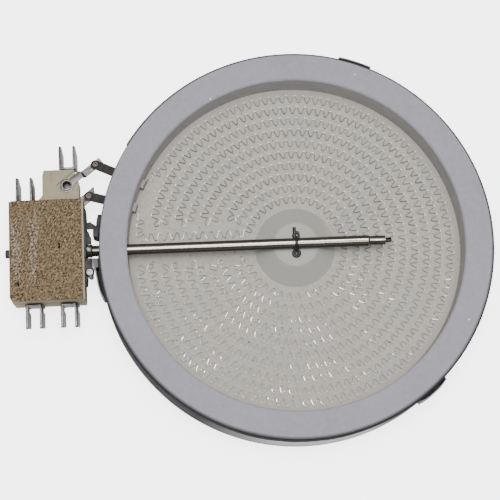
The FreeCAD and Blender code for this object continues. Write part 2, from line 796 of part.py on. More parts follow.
def tongue_slot(name, middle, face, way, tongue):
    """The slot in the head that a tab's tongue sits in."""
    half = "(tongue_width / 2 + fit_gap)"
    far = f"({face} - {way} * (tongue_reach + fit_gap))"
    low, high = (far, f"({face} + 1)") if way > 0 else (f"({face} - 1)", far)
    return block(name, (f"{middle} - {half}", low, tongue),
                 (f"{middle} + {half}", high, f"{tongue} + tab_sheet + fit_gap"))


def make_housing():
    """The ceramic switch housing with its wing, open at the top."""
    body = new_body("housing_block")
    plan = outline(body, "housing_plan", "XY_Plane", [
        (HEAD_LEFT, "head_front + head_chamfer * 1.15"),
        (f"{HEAD_LEFT} + head_chamfer", "head_front"),
        ("head_right", "head_front"),
        ("head_right", "head_back"),
        (HEAD_LEFT, "head_back"),
    ], "head_low")
    pad(body, plan, "head_high - head_low")
    wing = outline(body, "wing_plan", "XY_Plane", [
        (f"{WING_LEFT} - 1.6", "head_back - 1"),
        (WING_RIGHT, "head_back - 1"),
        (WING_RIGHT, "wing_back - 5.6"),
        (f"{WING_RIGHT} - wing_step", "wing_back - 2.2"),
        (f"{WING_RIGHT} - wing_step - 0.3", "wing_back"),
        (f"{WING_LEFT} + 0.6", "wing_back"),
        (WING_LEFT, "wing_back - 2.4"),
        (WING_LEFT, "head_back + 3.4"),
        (f"{WING_LEFT} - 1.6", "head_back + 1.6"),
    ], "head_low")
    pad(body, wing, "wing_high - head_low")
    chamber = outline(body, "housing_chamber", "XY_Plane", [
        (POCKET_LEFT, POCKET_FRONT),
        (POCKET_RIGHT, POCKET_FRONT),
        (POCKET_RIGHT, POCKET_BACK),
        (POCKET_LEFT, POCKET_BACK),
    ], "head_high")
    pocket(body, chamber, "head_high - head_floor")

    tools = [
        rod("tube_hole", "tube_radius + fit_gap", "head_wall + 2", ("head_right - head_wall - 1", "0", "tube_axis"),
            ALONG),
        rod("stop_hole", "stop_screw_radius + fit_gap / 2", "head_wall + 2", (f"{HEAD_LEFT} - 1", "0", "tube_axis"),
            ALONG),
        rod("rivet_way", "rivet_radius + fit_gap", "wing_high - head_low + 2",
            (LINK_RIVET_X, "link_rivet_across", "head_low - 1")),
        block("wing_groove", (f"{WING_LEFT} + 3.4", "head_back + 9", "wing_high - wing_recess / 2"),
              (f"{WING_LEFT} + 4.1", "wing_back + 1", "wing_high + 1")),
        rod("pin_hole", "cover_hole", "pin_hole_depth + 1", (*COVER_HOLE, "head_high - pin_hole_depth")),
        wing_channel(),
    ]
    for number, (label, middle, face, way, reach, tongue) in enumerate(TABS):
        tools.append(tongue_slot(f"tongue_slot_{number}", middle, face, way, tongue))
    tools.append(link_slot())
    for number, (x, y) in enumerate(FLOOR_RIVETS):
        tools.append(rod(f"floor_bore_{number}", "small_rivet", "head_floor - head_low + 2", (x, y, "head_low - 1")))
    node(cut("limiter_housing", body, tools), "limiter_housing")


def wing_channel():
    """The shallow channel in the wing's top that the long link lies in."""
    thing = doc.addObject("Part::Box", "wing_channel")
    bind(thing, "Length", "18")
    bind(thing, "Width", "2 * channel_half")
    bind(thing, "Height", "3")
    cosine = f"cos({LONG_TURN} * 1 deg)"
    sine = f"sin({LONG_TURN} * 1 deg)"
    return put(thing, f"{LINK_RIVET_X} - 3.5 * {cosine} + channel_half * {sine}",
               f"link_rivet_across - 3.5 * {sine} - channel_half * {cosine}", SHELF, LONG_TURN)


def make_cover():
    """The granular mica plate that closes the housing."""
    body = new_body("cover_plate")
    plan = outline(body, "cover_plan", "XY_Plane", [
        (f"{HEAD_LEFT} + cover_inset", "head_front + 1.2"),
        (f"{HEAD_LEFT} + cover_inset + 1.2", "head_front"),
        ("head_right", "head_front"),
        ("head_right", "head_back"),
        (f"{HEAD_LEFT} + cover_inset + 1", "head_back"),
        (f"{HEAD_LEFT} + cover_inset", "head_back - 1"),
    ], "head_high")
    pad(body, plan, "cover_sheet")
    hole = circle(body, "cover_hole", "XY_Plane", COVER_HOLE, "cover_hole", "head_high + cover_sheet + 1")
    pocket(body, hole, "cover_sheet + 2")
    slot = outline(body, "cover_slot", "XY_Plane", [
        ("head_right - 10.5", "0.8"),
        ("head_right - 9.8", "0.8"),
        ("head_right - 9.8", "3.2"),
        ("head_right - 10.5", "3.2"),
    ], "head_high + cover_sheet + 1")
    pocket(body, slot, "cover_sheet + 2")
    node(body, "cover_plate")


def make_bracket():
    """The sheet bracket between the head and the dish, and the screw through the dish's lug."""
    body = new_body("bracket_plate")
    plate = outline(body, "bracket_side", "YZ_Plane", [
        ("bracket_front", "bracket_low + 3"),
        ("bracket_front + 3", "bracket_low"),
        ("bracket_back - 3", "bracket_low"),
        ("bracket_back", "bracket_low + 3"),
        ("bracket_back", "head_high - 3.6"),
        ("9.4", "head_high"),
        ("-2.9", "head_high"),
        ("-2.9", "lug_top + bracket_sheet"),
        ("bracket_front + 1", "lug_top + bracket_sheet"),
        ("bracket_front", "lug_top + bracket_sheet - 1"),
    ], "head_right")
    pad(body, plate, "bracket_sheet")
    bore = circle(body, "bracket_bore", "YZ_Plane", ("0", "tube_axis"), "tube_radius + fit_gap", "head_right - 1")
    pocket(body, bore, "bracket_sheet + 2", True)
    under = "head_right + bracket_sheet / 2"
    shelf = "(lug_top + bracket_sheet)"
    lip = outline(body, "bracket_lip", "XY_Plane", [
        (under, "3"),
        ("head_right + 3", "3"),
        ("head_right + 3", "5.6"),
        ("head_right + 2.3", "6.9"),
        ("head_right + 2", "8.2"),
        (under, "9.1"),
    ], f"{shelf} - bracket_sheet")
    pad(body, lip, "bracket_sheet")
    hook = outline(body, "bracket_hook", "XY_Plane", [
        (under, "10"),
        ("-dish_radius + 0.2", "10"),
        ("-dish_radius - 0.7", "11.4"),
        ("-dish_radius - 3.2", "13.2"),
        (under, "12.4"),
    ], "hook_level")
    pad(body, hook, "bracket_sheet")
    flange = outline(body, "bracket_flange", "XY_Plane", [
        ("-dish_radius + 1.48", "16.3"),
        ("-dish_radius + 0.1", "16.2"),
        ("-dish_radius - 0.6", "13"),
        ("-dish_radius - 0.8", "10.1"),
        ("-dish_radius - 2.1", "10.1"),
        ("-dish_radius - 2.1", "6.9"),
        ("-dish_radius - 0.8", "6.5"),
        ("-dish_radius + 0.1", "6.1"),
        ("-dish_radius + 0.48", "10.1"),
        ("-dish_radius + 0.88", "13"),
    ], "bracket_low")
    pad(body, flange, "hook_level + bracket_sheet - bracket_low")
    tongue = outline(body, "bracket_tongue", "XY_Plane", [
        (under, "-2.9"),
        (f"{SCREW_X} + 0.9", "-2.9"),
        (f"{SCREW_X} + 0.9", "-6.7"),
        (f"{SCREW_X} + 1.4", "-7.4"),
        (f"{SCREW_X} + 1.4", "screw_across - screw_head_radius"),
        (under, "screw_across - screw_head_radius"),
    ], "lug_top")
    pad(body, tongue, "bracket_sheet")
    hole = circle(body, "bracket_screw_hole", "XY_Plane", (SCREW_X, "screw_across"), "screw_radius + fit_gap",
                  "lug_top + 2")
    pocket(body, hole, "3")
    node(body, "mounting_bracket")

    screw = turned("fixing_screw", [
        ("0", "-screw_length"),
        ("screw_radius * 0.35", "-screw_length"),
        ("screw_radius - fit_gap / 2", "-screw_length + 1.6"),
        ("screw_radius - fit_gap / 2", "0"),
        ("screw_head_radius", "0"),
        ("screw_head_radius", "screw_head * 0.4"),
        ("screw_head_radius * 0.72", "screw_head"),
        ("0", "screw_head"),
    ])
    put(screw, SCREW_X, "screw_across", "lug_top + bracket_sheet")
    node(screw, "fixing_screw")

    stop = turned("adjusting_screw", [
        ("-stop_screw_out", "0"),
        ("-stop_screw_out", "stop_screw_radius - 0.4"),
        ("-stop_screw_out + 0.4", "stop_screw_radius"),
        ("head_wall + 0.6", "stop_screw_radius"),
        ("head_wall + 1", "stop_screw_radius * 0.4"),
        (f"{SIGNAL_LEAF} - {HEAD_LEFT}", "stop_screw_radius * 0.4"),
        (f"{SIGNAL_LEAF} - {HEAD_LEFT}", "0"),
    ], "H_Axis")
    put(stop, HEAD_LEFT, "0", "tube_axis")
    node(stop, "adjusting_screw")


def link_slot():
    """The way of the short link strip through the head's right wall."""
    thing = doc.addObject("Part::Box", "link_slot")
    half = "(short_link_width / 2 + fit_gap)"
    bind(thing, "Length", "19")
    bind(thing, "Width", f"2 * {half}")
    bind(thing, "Height", "link_sheet + 2 * fit_gap")
    cosine = "cos(link_angle * 1 deg)"
    sine = "sin(link_angle * 1 deg)"
    return put(thing, f"{SHORT_EYE_X} - 15 * {cosine} + {half} * {sine}",
               f"{SHORT_EYE_Y} - 15 * {sine} - {half} * {cosine}", f"{LINK_LOW} - fit_gap", "link_angle")


def make_links():
    """The two bare strips that carry the current from the head to the terminal strips."""
    run_x = f"({LONG_EYE_X} - {LINK_RIVET_X})"
    run_y = f"({LONG_EYE_Y} - link_rivet_across)"
    run = f"(({run_x}) ^ 2 + ({run_y}) ^ 2) ^ 0.5"
    long_link = new_body("link_strip_long")
    side = outline(long_link, "long_link_side", "XZ_Plane", [
        ("0", SHELF),
        ("7.4", SHELF),
        ("8.6", LINK_LOW),
        (f"{run} + 3.2", LINK_LOW),
        (f"{run} + 3.2", "strip_level"),
        ("9", "strip_level"),
        ("7.8", f"{SHELF} + link_sheet"),
        ("0", f"{SHELF} + link_sheet"),
    ], "-link_width / 2")
    pad(long_link, side, "link_width")
    eye = circle(long_link, "long_link_end", "XY_Plane", ("0", "0"), "link_eye", SHELF)
    pad(long_link, eye, "link_sheet")
    for name, spot, radius, top in (("long_link_rivet_hole", "0", "rivet_radius + fit_gap / 2", f"{SHELF} + 2"),
                                    ("long_link_eye", run, "eye_radius", "strip_level + 1")):
        hole = circle(long_link, name, "XY_Plane", (spot, "0"), radius, top)
        pocket(long_link, hole, "3")
    put(long_link, LINK_RIVET_X, "link_rivet_across", "0", LONG_TURN)
    node(long_link, "link_strip_long")

    short_link = new_body("link_strip_short")
    plan = outline(short_link, "short_link_plan", "XY_Plane", [
        ("-link_inside", "-short_link_width / 2"),
        ("1.6", "-short_link_width / 2"),
        ("link_tail", "short_link_width / 2"),
        ("-link_inside", "short_link_width / 2"),
    ], LINK_LOW)
    pad(short_link, plan, "link_sheet")
    for name, spot, radius in (("short_link_eye", "0", "eye_radius"),
                               ("short_link_rivet_hole", "-link_inside + 1.5", "small_rivet")):
        hole = circle(short_link, name, "XY_Plane", (spot, "0"), radius, "strip_level + 1")
        pocket(short_link, hole, "3")
    put(short_link, SHORT_EYE_X, SHORT_EYE_Y, "0", "link_angle")
    node(short_link, "link_strip_short")

    rivet = turned("link_rivet", [
        ("rivet_hole", "head_low - 0.4"),
        ("rivet_flange", "head_low - 0.4"),
        ("rivet_flange", "head_low"),
        ("rivet_radius", "head_low"),
        ("rivet_radius", f"{SHELF} + link_sheet"),
        ("rivet_flange", f"{SHELF} + link_sheet"),
        ("rivet_flange - 0.3", f"{SHELF} + link_sheet + 0.5"),
        ("rivet_hole + 0.2", f"{SHELF} + link_sheet + 0.5"),
        ("rivet_hole", f"{SHELF} + link_sheet + 0.2"),
    ])
    put(rivet, LINK_RIVET_X, "link_rivet_across", "0")
    node(rivet, "link_rivet")

    # two hollow eyelets clamp the terminal strips on the links
    eyelets = []
    for number, (x, y) in enumerate(((LONG_EYE_X, LONG_EYE_Y), (SHORT_EYE_X, SHORT_EYE_Y))):
        eyelet = turned(f"strip_eyelet_{number}", [
            ("eye_radius * 0.5", f"{LINK_LOW} - 0.3"),
            ("eye_radius * 1.5", f"{LINK_LOW} - 0.3"),
            ("eye_radius * 1.5", LINK_LOW),
            ("eye_radius - fit_gap / 2", LINK_LOW),
            ("eye_radius - fit_gap / 2", "strip_level + strip_sheet"),
            ("eye_radius * 1.5", "strip_level + strip_sheet"),
            ("eye_radius * 1.3", "strip_level + strip_sheet + 0.35"),
            ("eye_radius * 0.5", "strip_level + strip_sheet + 0.35"),
        ])
        put(eyelet, x, y, "0")
        eyelets.append(eyelet)
    gather("strip_eyelets", eyelets)


def make_switch():
    """Leaf springs, fixed contacts, pins and rivets inside the housing."""
    for label, leaf in (("signal_spring", SIGNAL_LEAF), ("power_spring", POWER_LEAF)):
        spring = new_body(label)
        blade = outline(spring, label + "_blade", "XY_Plane", [
            (leaf, f"{POCKET_FRONT} + 0.6"),
            (f"{leaf} + leaf_sheet", f"{POCKET_FRONT} + 0.6"),
            (f"{leaf} + leaf_sheet", "contact_place + contact_radius + 0.5"),
            (leaf, "contact_place + contact_radius + 0.5"),
        ], DECK)
        pad(spring, blade, "leaf_height")
        foot = outline(spring, label + "_foot", "XY_Plane", [
            (leaf, f"{POCKET_FRONT} + 0.6"),
            (f"{leaf} + spring_foot", f"{POCKET_FRONT} + 0.6"),
            (f"{leaf} + spring_foot", f"{POCKET_FRONT} + 4"),
            (leaf, f"{POCKET_FRONT} + 4"),
        ], DECK)
        pad(spring, foot, "leaf_sheet")
        rivet_bore(spring, f"{leaf} + spring_foot / 2 + leaf_sheet", f"{POCKET_FRONT} + 2.3")
        node(spring, label)

    signal = new_body("signal_contact")
    heel = f"({POCKET_BACK} - 0.6)"
    make_fixed(signal, SIGNAL_LEAF, heel, (f"{heel} - link_width", heel), "-3", DECK)
    rivet_bore(signal, f"{SIGNAL_LEAF} + {FIXED_GAP} - 1.5", f"{POCKET_BACK} - 2.3")
    node(signal, "signal_contact")
    power = new_body("power_contact")
    make_fixed(power, POWER_LEAF, f"{LINK_END_Y} - 2.8", (f"{LINK_END_Y} - 5", f"{LINK_END_Y} + 1.4"), "3.4",
               "head_floor")
    rivet_bore(power, LINK_END_X, LINK_END_Y)
    node(power, "power_contact")

    # contact points: the signal pair stands open, the power pair stands closed
    points = []
    for name, leaf, gap in (("signal", SIGNAL_LEAF, "fit_gap"), ("power", POWER_LEAF, "0")):
        length = f"({FIXED_GAP} - leaf_sheet - {gap}) / 2"
        points.append(rod(name + "_point", "contact_radius", length,
                          (f"{leaf} + leaf_sheet", "contact_place", f"{DECK} + leaf_height / 2"), ALONG))
        points.append(rod(name + "_anvil", "contact_radius", length,
                          (f"{leaf} + {FIXED_GAP} - {length}", "contact_place", f"{DECK} + leaf_height / 2"), ALONG))
    gather("contact_rivets", points)

    rivets = []
    stacks = (f"{DECK} + leaf_sheet", f"{DECK} + leaf_sheet", f"{DECK} + link_sheet", "strip_level")
    for number, ((x, y), stack) in enumerate(zip(FLOOR_RIVETS, stacks)):
        rivet = turned(f"tab_rivet_{number}", [
            ("0", "head_low - 0.5"),
            ("rivet_cap * 1.2", "head_low - 0.5"),
            ("rivet_cap * 1.2", "head_low"),
            ("small_rivet", "head_low"),
            ("small_rivet", stack),
            ("rivet_cap", stack),
            ("rivet_cap", f"{stack} + 0.4"),
            ("0", f"{stack} + 0.4"),
        ])
        put(rivet, x, y, "0")
        rivets.append(rivet)
    gather("tab_rivets", rivets)

    for label, start, stop in (("pressure_pin", f"{POWER_LEAF} + leaf_sheet", ROD_INNER),
                               ("spacer_pin", f"{SIGNAL_LEAF} + leaf_sheet", POWER_LEAF)):
        pin = turned(label, [
            (start, "0"),
            (start, "pin_radius - 0.2"),
            (f"{start} + 0.2", "pin_radius"),
            (f"{stop} - 0.2", "pin_radius"),
            (stop, "pin_radius - 0.2"),
            (stop, "0"),
        ], "H_Axis")
        put(pin, "0", "0", "tube_axis")
        node(pin, label)


def make_fixed(body, leaf, back, foot_span, side, deck):
    """An angle with its upright across the gap from a leaf spring and its foot on a tongue or the floor."""
    face = f"({leaf} + {FIXED_GAP})"
    toe = f"({face} + link_sheet)" if side.startswith("-") else face
    upright = outline(body, body.Name + "_upright", "XY_Plane", [
        (face, "contact_place - contact_radius - 0.5"),
        (f"{face} + link_sheet", "contact_place - contact_radius - 0.5"),
        (f"{face} + link_sheet", back),
        (face, back),
    ], deck)
    pad(body, upright, f"{DECK} + leaf_height - {deck}")
    near, far = foot_span
    foot = outline(body, body.Name + "_foot", "XY_Plane", [
        (toe, near),
        (f"{toe} + {side}", near),
        (f"{toe} + {side}", far),
        (toe, far),
    ], deck)
    pad(body, foot, "link_sheet")


def rivet_bore(body, x, y):
    """The rivet's hole through a foot or a tongue, given in the body's own plan."""
    hole = circle(body, body.Name + "_rivet_bore", "XY_Plane", (x, y), "small_rivet", "head_high")
    pocket(body, hole, "head_high")


def gather(label, pieces):
    """Like pieces kept as separate solids in one node."""
    group = doc.addObject("Part::Compound", label)
    group.Links = pieces
    node(group, label)


def write_parts():
    doc.recompute()
    for thing in doc.Objects:
        if "Invalid" in thing.State or "Error" in thing.State:
            raise RuntimeError(f"{thing.Label} failed: {thing.State}")
    for thing in finished:
        shape = thing.Shape
        if shape.isNull() or not shape.isValid() or not shape.Solids:
            raise RuntimeError(f"{thing.Label} has no valid solid")
    os.makedirs("parts", exist_ok=True)
    for thing in finished:
        thing.Shape.exportStep(f"parts/{thing.Label}.step")
        print(f"{thing.Label}: {len(thing.Shape.Solids)} solid, {thing.Shape.Volume:.1f} mm3")


make_dish()
make_insulation()
make_ribbon()
for number, (angle, eye) in enumerate(STRIPS):
    make_terminal_strip(("terminal_strip_outer", "terminal_strip_inner")[number], angle, eye)
make_tube()
make_housing()
make_cover()
make_bracket()
for label, middle, face, way, reach, tongue in TABS:
    tab = make_tab_terminal(label, middle, face, way, reach, tongue)
    node(tab, label)
make_links()
make_switch()
write_parts()
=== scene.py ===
import json
import math

import bpy
from bpy.props import FloatProperty, FloatVectorProperty, IntProperty, PointerProperty
from mathutils import Matrix, Vector
from mathutils.kdtree import KDTree


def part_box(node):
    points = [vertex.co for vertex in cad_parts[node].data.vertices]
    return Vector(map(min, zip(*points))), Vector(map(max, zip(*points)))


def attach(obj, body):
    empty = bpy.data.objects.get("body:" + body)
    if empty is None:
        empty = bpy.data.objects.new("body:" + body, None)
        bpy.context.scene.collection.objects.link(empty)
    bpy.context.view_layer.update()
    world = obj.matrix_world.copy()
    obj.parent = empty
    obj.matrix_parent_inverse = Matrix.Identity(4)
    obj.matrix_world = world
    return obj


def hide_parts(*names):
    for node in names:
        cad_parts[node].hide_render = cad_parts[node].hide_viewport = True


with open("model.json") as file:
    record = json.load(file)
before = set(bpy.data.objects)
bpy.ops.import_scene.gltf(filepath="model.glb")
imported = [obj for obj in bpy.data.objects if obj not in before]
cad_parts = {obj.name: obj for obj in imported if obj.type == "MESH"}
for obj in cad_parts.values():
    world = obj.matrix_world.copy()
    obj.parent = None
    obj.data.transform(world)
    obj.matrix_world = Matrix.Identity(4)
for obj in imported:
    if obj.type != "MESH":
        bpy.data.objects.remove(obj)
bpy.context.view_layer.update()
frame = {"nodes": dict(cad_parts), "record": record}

bl_info = {
    "name": "Radiant surface element",
    "version": (1, 0, 0),
    "blender": (4, 5, 0),
    "location": "View3D > Sidebar > Radiant element",
    "description": "Dresses the round hob element: pan, insulation, ribbon, sensor tube and switch head",
    "category": "Add Mesh",
}

MM = 0.001
BODY = "root"
PHASE = "wave_phase"
STEPS = 14                                          # points to a wave of the ribbon
STRIP_ANGLES = (math.radians(155.0), math.radians(163.8))
CREASE = 32                                         # degrees past which an edge stays sharp

# Each strap's place round the pan in degrees, and how far its ends are bent in
STRAPS = ((-50.5, 0.95 * MM), (69.5, 0.4 * MM), (189.5, 1.3 * MM))
STRAP_HALF = 7.2 * MM
STRAP_BAND = (82.6 * MM, 84.3 * MM)                 # from past the wall to past the strap
STRAP_FOOT = 16.5 * MM
CUT_STEP = 1.1 * MM
# The thin shelf set in each strap's gap, painted near black as shade: size, reach and height
SHELF = (1.9 * MM, 13.6 * MM, 0.4 * MM)
SHELF_REACH = 82.75 * MM
SHELF_HEIGHT = 17.3 * MM

EYELETS = ((-83.02 * MM, 38.71 * MM), (-86.04 * MM, 25.0 * MM))


# Sizes and colours

def length_setting(name, description, default):
    return FloatProperty(name=name, description=description, default=default, unit="LENGTH",
                         precision=5)


def colour_setting(name, description, default):
    return FloatVectorProperty(name=name, description=description, default=default,
                               subtype="COLOR", min=0.0, max=1.0)


class RibbonSettings(bpy.types.PropertyGroup):
    sheet: length_setting("Thickness", "Thickness of the resistance strip", 0.2 * MM)
    height: length_setting("Height", "How far the strip stands out of the base", 2.0 * MM)
    swing: length_setting("Swing", "Half the width of the wave", 1.52 * MM)
    wave: length_setting("Wave", "Length of one whole wave", 3.62 * MM)
    outer: length_setting("Outer turn", "Radius of the outermost turn", 65.8 * MM)
    pitch: length_setting("Pitch", "Distance from turn to turn", 4.97 * MM)
    turns: IntProperty(name="Turns", description="Number of turns", default=10, min=2)
    start: FloatProperty(name="Start", description="Angle where the outermost turn starts",
                         default=math.radians(147), subtype="ANGLE")
    back: length_setting("Back hairpins", "Distance of the hairpins behind the tube", 14.9 * MM)
    front: length_setting("Front hairpins", "Distance of the hairpins in front of the tube", 8.0 * MM)
    home: length_setting("Return run", "Distance of the return run from the tube", 6.9 * MM)
    sunk: length_setting("Sunk", "How deep the strip is pressed into the base", 1.1 * MM)
    bend: length_setting("Return bend", "Bend radius at the ends of the return run", 2.5 * MM)
    climb: length_setting("Return climb", "Radius of the climb to the inner terminal", 66.2 * MM)
    weld: length_setting("Weld radius", "Radius of the terminal strips' inner faces", 69.0 * MM)
    weld_width: length_setting("Weld width", "Width of the terminal strips", 3.9 * MM)


class FinishSettings(bpy.types.PropertyGroup):
    ring: colour_setting("Ring", "Colour of the insulating ring", (0.222, 0.219, 0.243))
    base: colour_setting("Base", "Colour of the pressed base", (0.285, 0.275, 0.25))
    steel: colour_setting("Pan steel", "Colour of the pan", (0.30, 0.29, 0.29))
    tube: colour_setting("Tube steel", "Colour of the sensor tube", (0.205, 0.18, 0.155))
    ceramic: colour_setting("Steatite", "Colour of the switch housing", (0.245, 0.218, 0.147))
    mica: colour_setting("Mica", "Main colour of the cover plate", (0.136, 0.096, 0.058))


class StageSettings(bpy.types.PropertyGroup):
    lens: FloatProperty(name="Lens", default=110.84,
                        description="Focal length of the camera in millimetres")
    soft: FloatProperty(name="Soft light", default=25.0,
                        description="Power of the wide overhead light in watts")
    key: FloatProperty(name="Key light", default=9.0,
                       description="Power of the light above the camera in watts")
    fill: FloatProperty(name="Fill light", default=0.4,
                        description="Power of the front light in watts")
    room: FloatProperty(name="Room light", default=0.4,
                        description="Strength of the even light of the room")
    floor: colour_setting("Floor", "Colour of the floor", (0.95, 0.95, 0.95))
    glow: FloatProperty(name="Floor glow", default=3.0,
                        description="How far the floor is lit from behind")


# Selecting and finishing pieces

def select_only(*pieces):
    if bpy.context.object and bpy.context.object.mode != "OBJECT":
        bpy.ops.object.mode_set(mode="OBJECT")
    bpy.ops.object.select_all(action="DESELECT")
    for piece in pieces:
        piece.select_set(True)
    bpy.context.view_layer.objects.active = pieces[-1]


def place_into_mesh(piece):
    """Moves an object's place into its mesh."""
    select_only(piece)
    bpy.ops.object.transform_apply(location=True, rotation=True, scale=True)


def edit_part(piece, chosen):
    """Enters edit mode with the chosen vertices selected."""
    select_only(piece)
    bpy.ops.object.mode_set(mode="EDIT")
    bpy.ops.mesh.select_all(action="DESELECT")
    bpy.ops.object.mode_set(mode="OBJECT")
    for vertex in piece.data.vertices:
        vertex.select = chosen(vertex.co)
    bpy.ops.object.mode_set(mode="EDIT")


def edit_all(piece):
    """Enters edit mode with the whole piece selected."""
    select_only(piece)
    bpy.ops.object.mode_set(mode="EDIT")
    bpy.ops.mesh.select_all(action="SELECT")


def smooth(piece, angle=CREASE):
    select_only(piece)
    bpy.ops.object.shade_smooth_by_angle(angle=math.radians(angle))


def finish_piece(piece, slot, *stands_for):
    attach(piece, BODY)
    if stands_for:
        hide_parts(*stands_for)
    return piece


def from_solid(node, name, edge=0.0, angle=CREASE):
    """A smooth copy of a CAD node with broken edges, which stands for the node."""
    source = frame["nodes"][node]
    piece = bpy.data.objects.new(name, source.data.copy())
    bpy.context.scene.collection.objects.link(piece)
    edit_all(piece)
    bpy.ops.mesh.remove_doubles(threshold=2e-6)
    bpy.ops.mesh.dissolve_limited(angle_limit=math.radians(0.4))
    bpy.ops.object.mode_set(mode="OBJECT")
    if edge:
        rounding = piece.modifiers.new("Edges", "BEVEL")
        rounding.width = edge
        rounding.segments = 2
        rounding.limit_method = "ANGLE"
        rounding.angle_limit = math.radians(35)
        rounding.use_clamp_overlap = True
        bpy.ops.object.modifier_apply(modifier=rounding.name)
    smooth(piece, angle)
    slot = next(part["material_slot"] for part in frame["record"]["subparts"]
                if part["node"] == node)
    return finish_piece(piece, slot, node)


def thicken(piece, amount):
    """Moves every face of a piece outwards by the amount."""
    edit_all(piece)
    bpy.ops.transform.shrink_fatten(value=amount)
    bpy.ops.object.mode_set(mode="OBJECT")


def scale_part(piece, chosen, factors, middle):
    """Scales the chosen part of a piece about a point, by a factor for each axis."""
    edit_part(piece, chosen)
    bpy.ops.transform.resize(value=factors, center_override=middle)
    bpy.ops.object.mode_set(mode="OBJECT")


def bow_strap(piece, turn, wall, depth, one_end):
    """Bends a straight strap, or the shelf behind it, into a bow that meets the wall at its ends.

    Faces past the wall are cut across in steps, then moved in by up to the depth. One end of the
    left strap carries the lug and stays as it is.
    """
    outward = Vector((math.cos(turn), math.sin(turn), 0))
    along = Vector((-math.sin(turn), math.cos(turn), 0))
    for step in range(0 if one_end else -6, 7):
        select_only(piece)
        bpy.ops.object.mode_set(mode="EDIT")
        bpy.ops.mesh.select_mode(type="FACE")
        bpy.ops.mesh.select_all(action="DESELECT")
        bpy.ops.object.mode_set(mode="OBJECT")
        for face in piece.data.polygons:
            middle = face.center
            face.select = (middle.dot(outward) > wall and abs(middle.dot(along)) < 7.3 * MM
                           and middle.z > STRAP_FOOT)
        bpy.ops.object.mode_set(mode="EDIT")
        bpy.ops.mesh.bisect(plane_co=along * step * CUT_STEP, plane_no=along)
        bpy.ops.object.mode_set(mode="OBJECT")
    low, high = STRAP_BAND
    for vertex in piece.data.vertices:
        reach, share = vertex.co.dot(outward), vertex.co.dot(along) / STRAP_HALF
        if low < reach < high and abs(share) < 1.02 and vertex.co.z > STRAP_FOOT:
            if share >= 0 or not one_end:
                vertex.co -= outward * depth * abs(share) ** 2.3


def add_plug(name, place, radius, depth, material):
    """A small disc with a broken edge, down in a rivet's bore."""
    bpy.ops.mesh.primitive_cylinder_add(vertices=32, radius=radius, depth=depth, location=place)
    plug = bpy.context.object
    plug.name = name
    place_into_mesh(plug)
    edit_all(plug)
    bpy.ops.mesh.bevel(offset=radius * 0.06, segments=2)
    bpy.ops.object.mode_set(mode="OBJECT")
    smooth(plug)
    finish_piece(plug, "rivet_steel")
    paint(plug, material)


def add_coil(clip, y):
    """A second, tighter turn of wire inside the clip's front loop."""
    middle = (0, y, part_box("base_insulation")[1].z + 0.45 * MM)
    bpy.ops.mesh.primitive_torus_add(location=middle, major_radius=0.62 * MM,
                                     minor_radius=0.36 * MM, major_segments=24,
                                     minor_segments=10)
    coil = bpy.context.object
    edit_all(coil)
    bpy.ops.transform.resize(value=(1, 1, 0.85), center_override=middle)
    bpy.ops.object.mode_set(mode="OBJECT")
    place_into_mesh(coil)
    select_only(coil, clip)
    bpy.ops.object.join()
    smooth(clip)


def paint(piece, material):
    piece.data.materials.clear()
    piece.data.materials.append(material)


# Shared effects

def group_with(name, inputs, outputs):
    """An empty node group with its sockets, and its input and output nodes."""
    group = bpy.data.node_groups.new(name, "ShaderNodeTree")
    for label, kind, value in inputs:
        socket = group.interface.new_socket(label, in_out="INPUT", socket_type=kind)
        if value is not None:
            socket.default_value = value
    for label, kind in outputs:
        group.interface.new_socket(label, in_out="OUTPUT", socket_type=kind)
    return group, group.nodes.new("NodeGroupInput"), group.nodes.new("NodeGroupOutput")


def noise_node(tree, vector, scale, detail=3.0, roughness=0.55):
    node = tree.nodes.new("ShaderNodeTexNoise")
    if isinstance(scale, (int, float)):
        node.inputs["Scale"].default_value = scale
    else:
        tree.links.new(scale, node.inputs["Scale"])
    node.inputs["Detail"].default_value = detail
    node.inputs["Roughness"].default_value = roughness
    tree.links.new(vector, node.inputs["Vector"])
    return node


def cells_node(tree, vector, scale):
    node = tree.nodes.new("ShaderNodeTexVoronoi")
    if isinstance(scale, (int, float)):
        node.inputs["Scale"].default_value = scale
    else:
        tree.links.new(scale, node.inputs["Scale"])
    tree.links.new(vector, node.inputs["Vector"])
    return node


def span_node(tree, value, low, high, to_low=0.0, to_high=1.0):
    """A value spread from one range to another, held at both ends."""
    node = tree.nodes.new("ShaderNodeMapRange")
    node.clamp = True
    limits = {"From Min": low, "From Max": high, "To Min": to_low, "To Max": to_high}
    for label, number in limits.items():
        if isinstance(number, (int, float)):
            node.inputs[label].default_value = number
        else:
            tree.links.new(number, node.inputs[label])
    tree.links.new(value, node.inputs["Value"])
    return node.outputs["Result"]


def math_node(tree, operation, first, second):
    node = tree.nodes.new("ShaderNodeMath")
    node.operation = operation
    for socket, value in zip(node.inputs, (first, second)):
        if isinstance(value, (int, float)):
            socket.default_value = value
        else:
            tree.links.new(value, socket)
    return node.outputs[0]


def mix_node(tree, factor, first, second, blend="MIX"):
    """Two colours mixed by a mask."""
    node = tree.nodes.new("ShaderNodeMix")
    node.data_type = "RGBA"
    node.blend_type = blend
    for number, value in ((0, factor), (6, first), (7, second)):
        socket = node.inputs[number]
        if isinstance(value, (int, float)):
            socket.default_value = value
        elif isinstance(value, (tuple, list)):
            socket.default_value = (*value[:3], 1.0)
        else:
            tree.links.new(value, socket)
    return node.outputs[2]


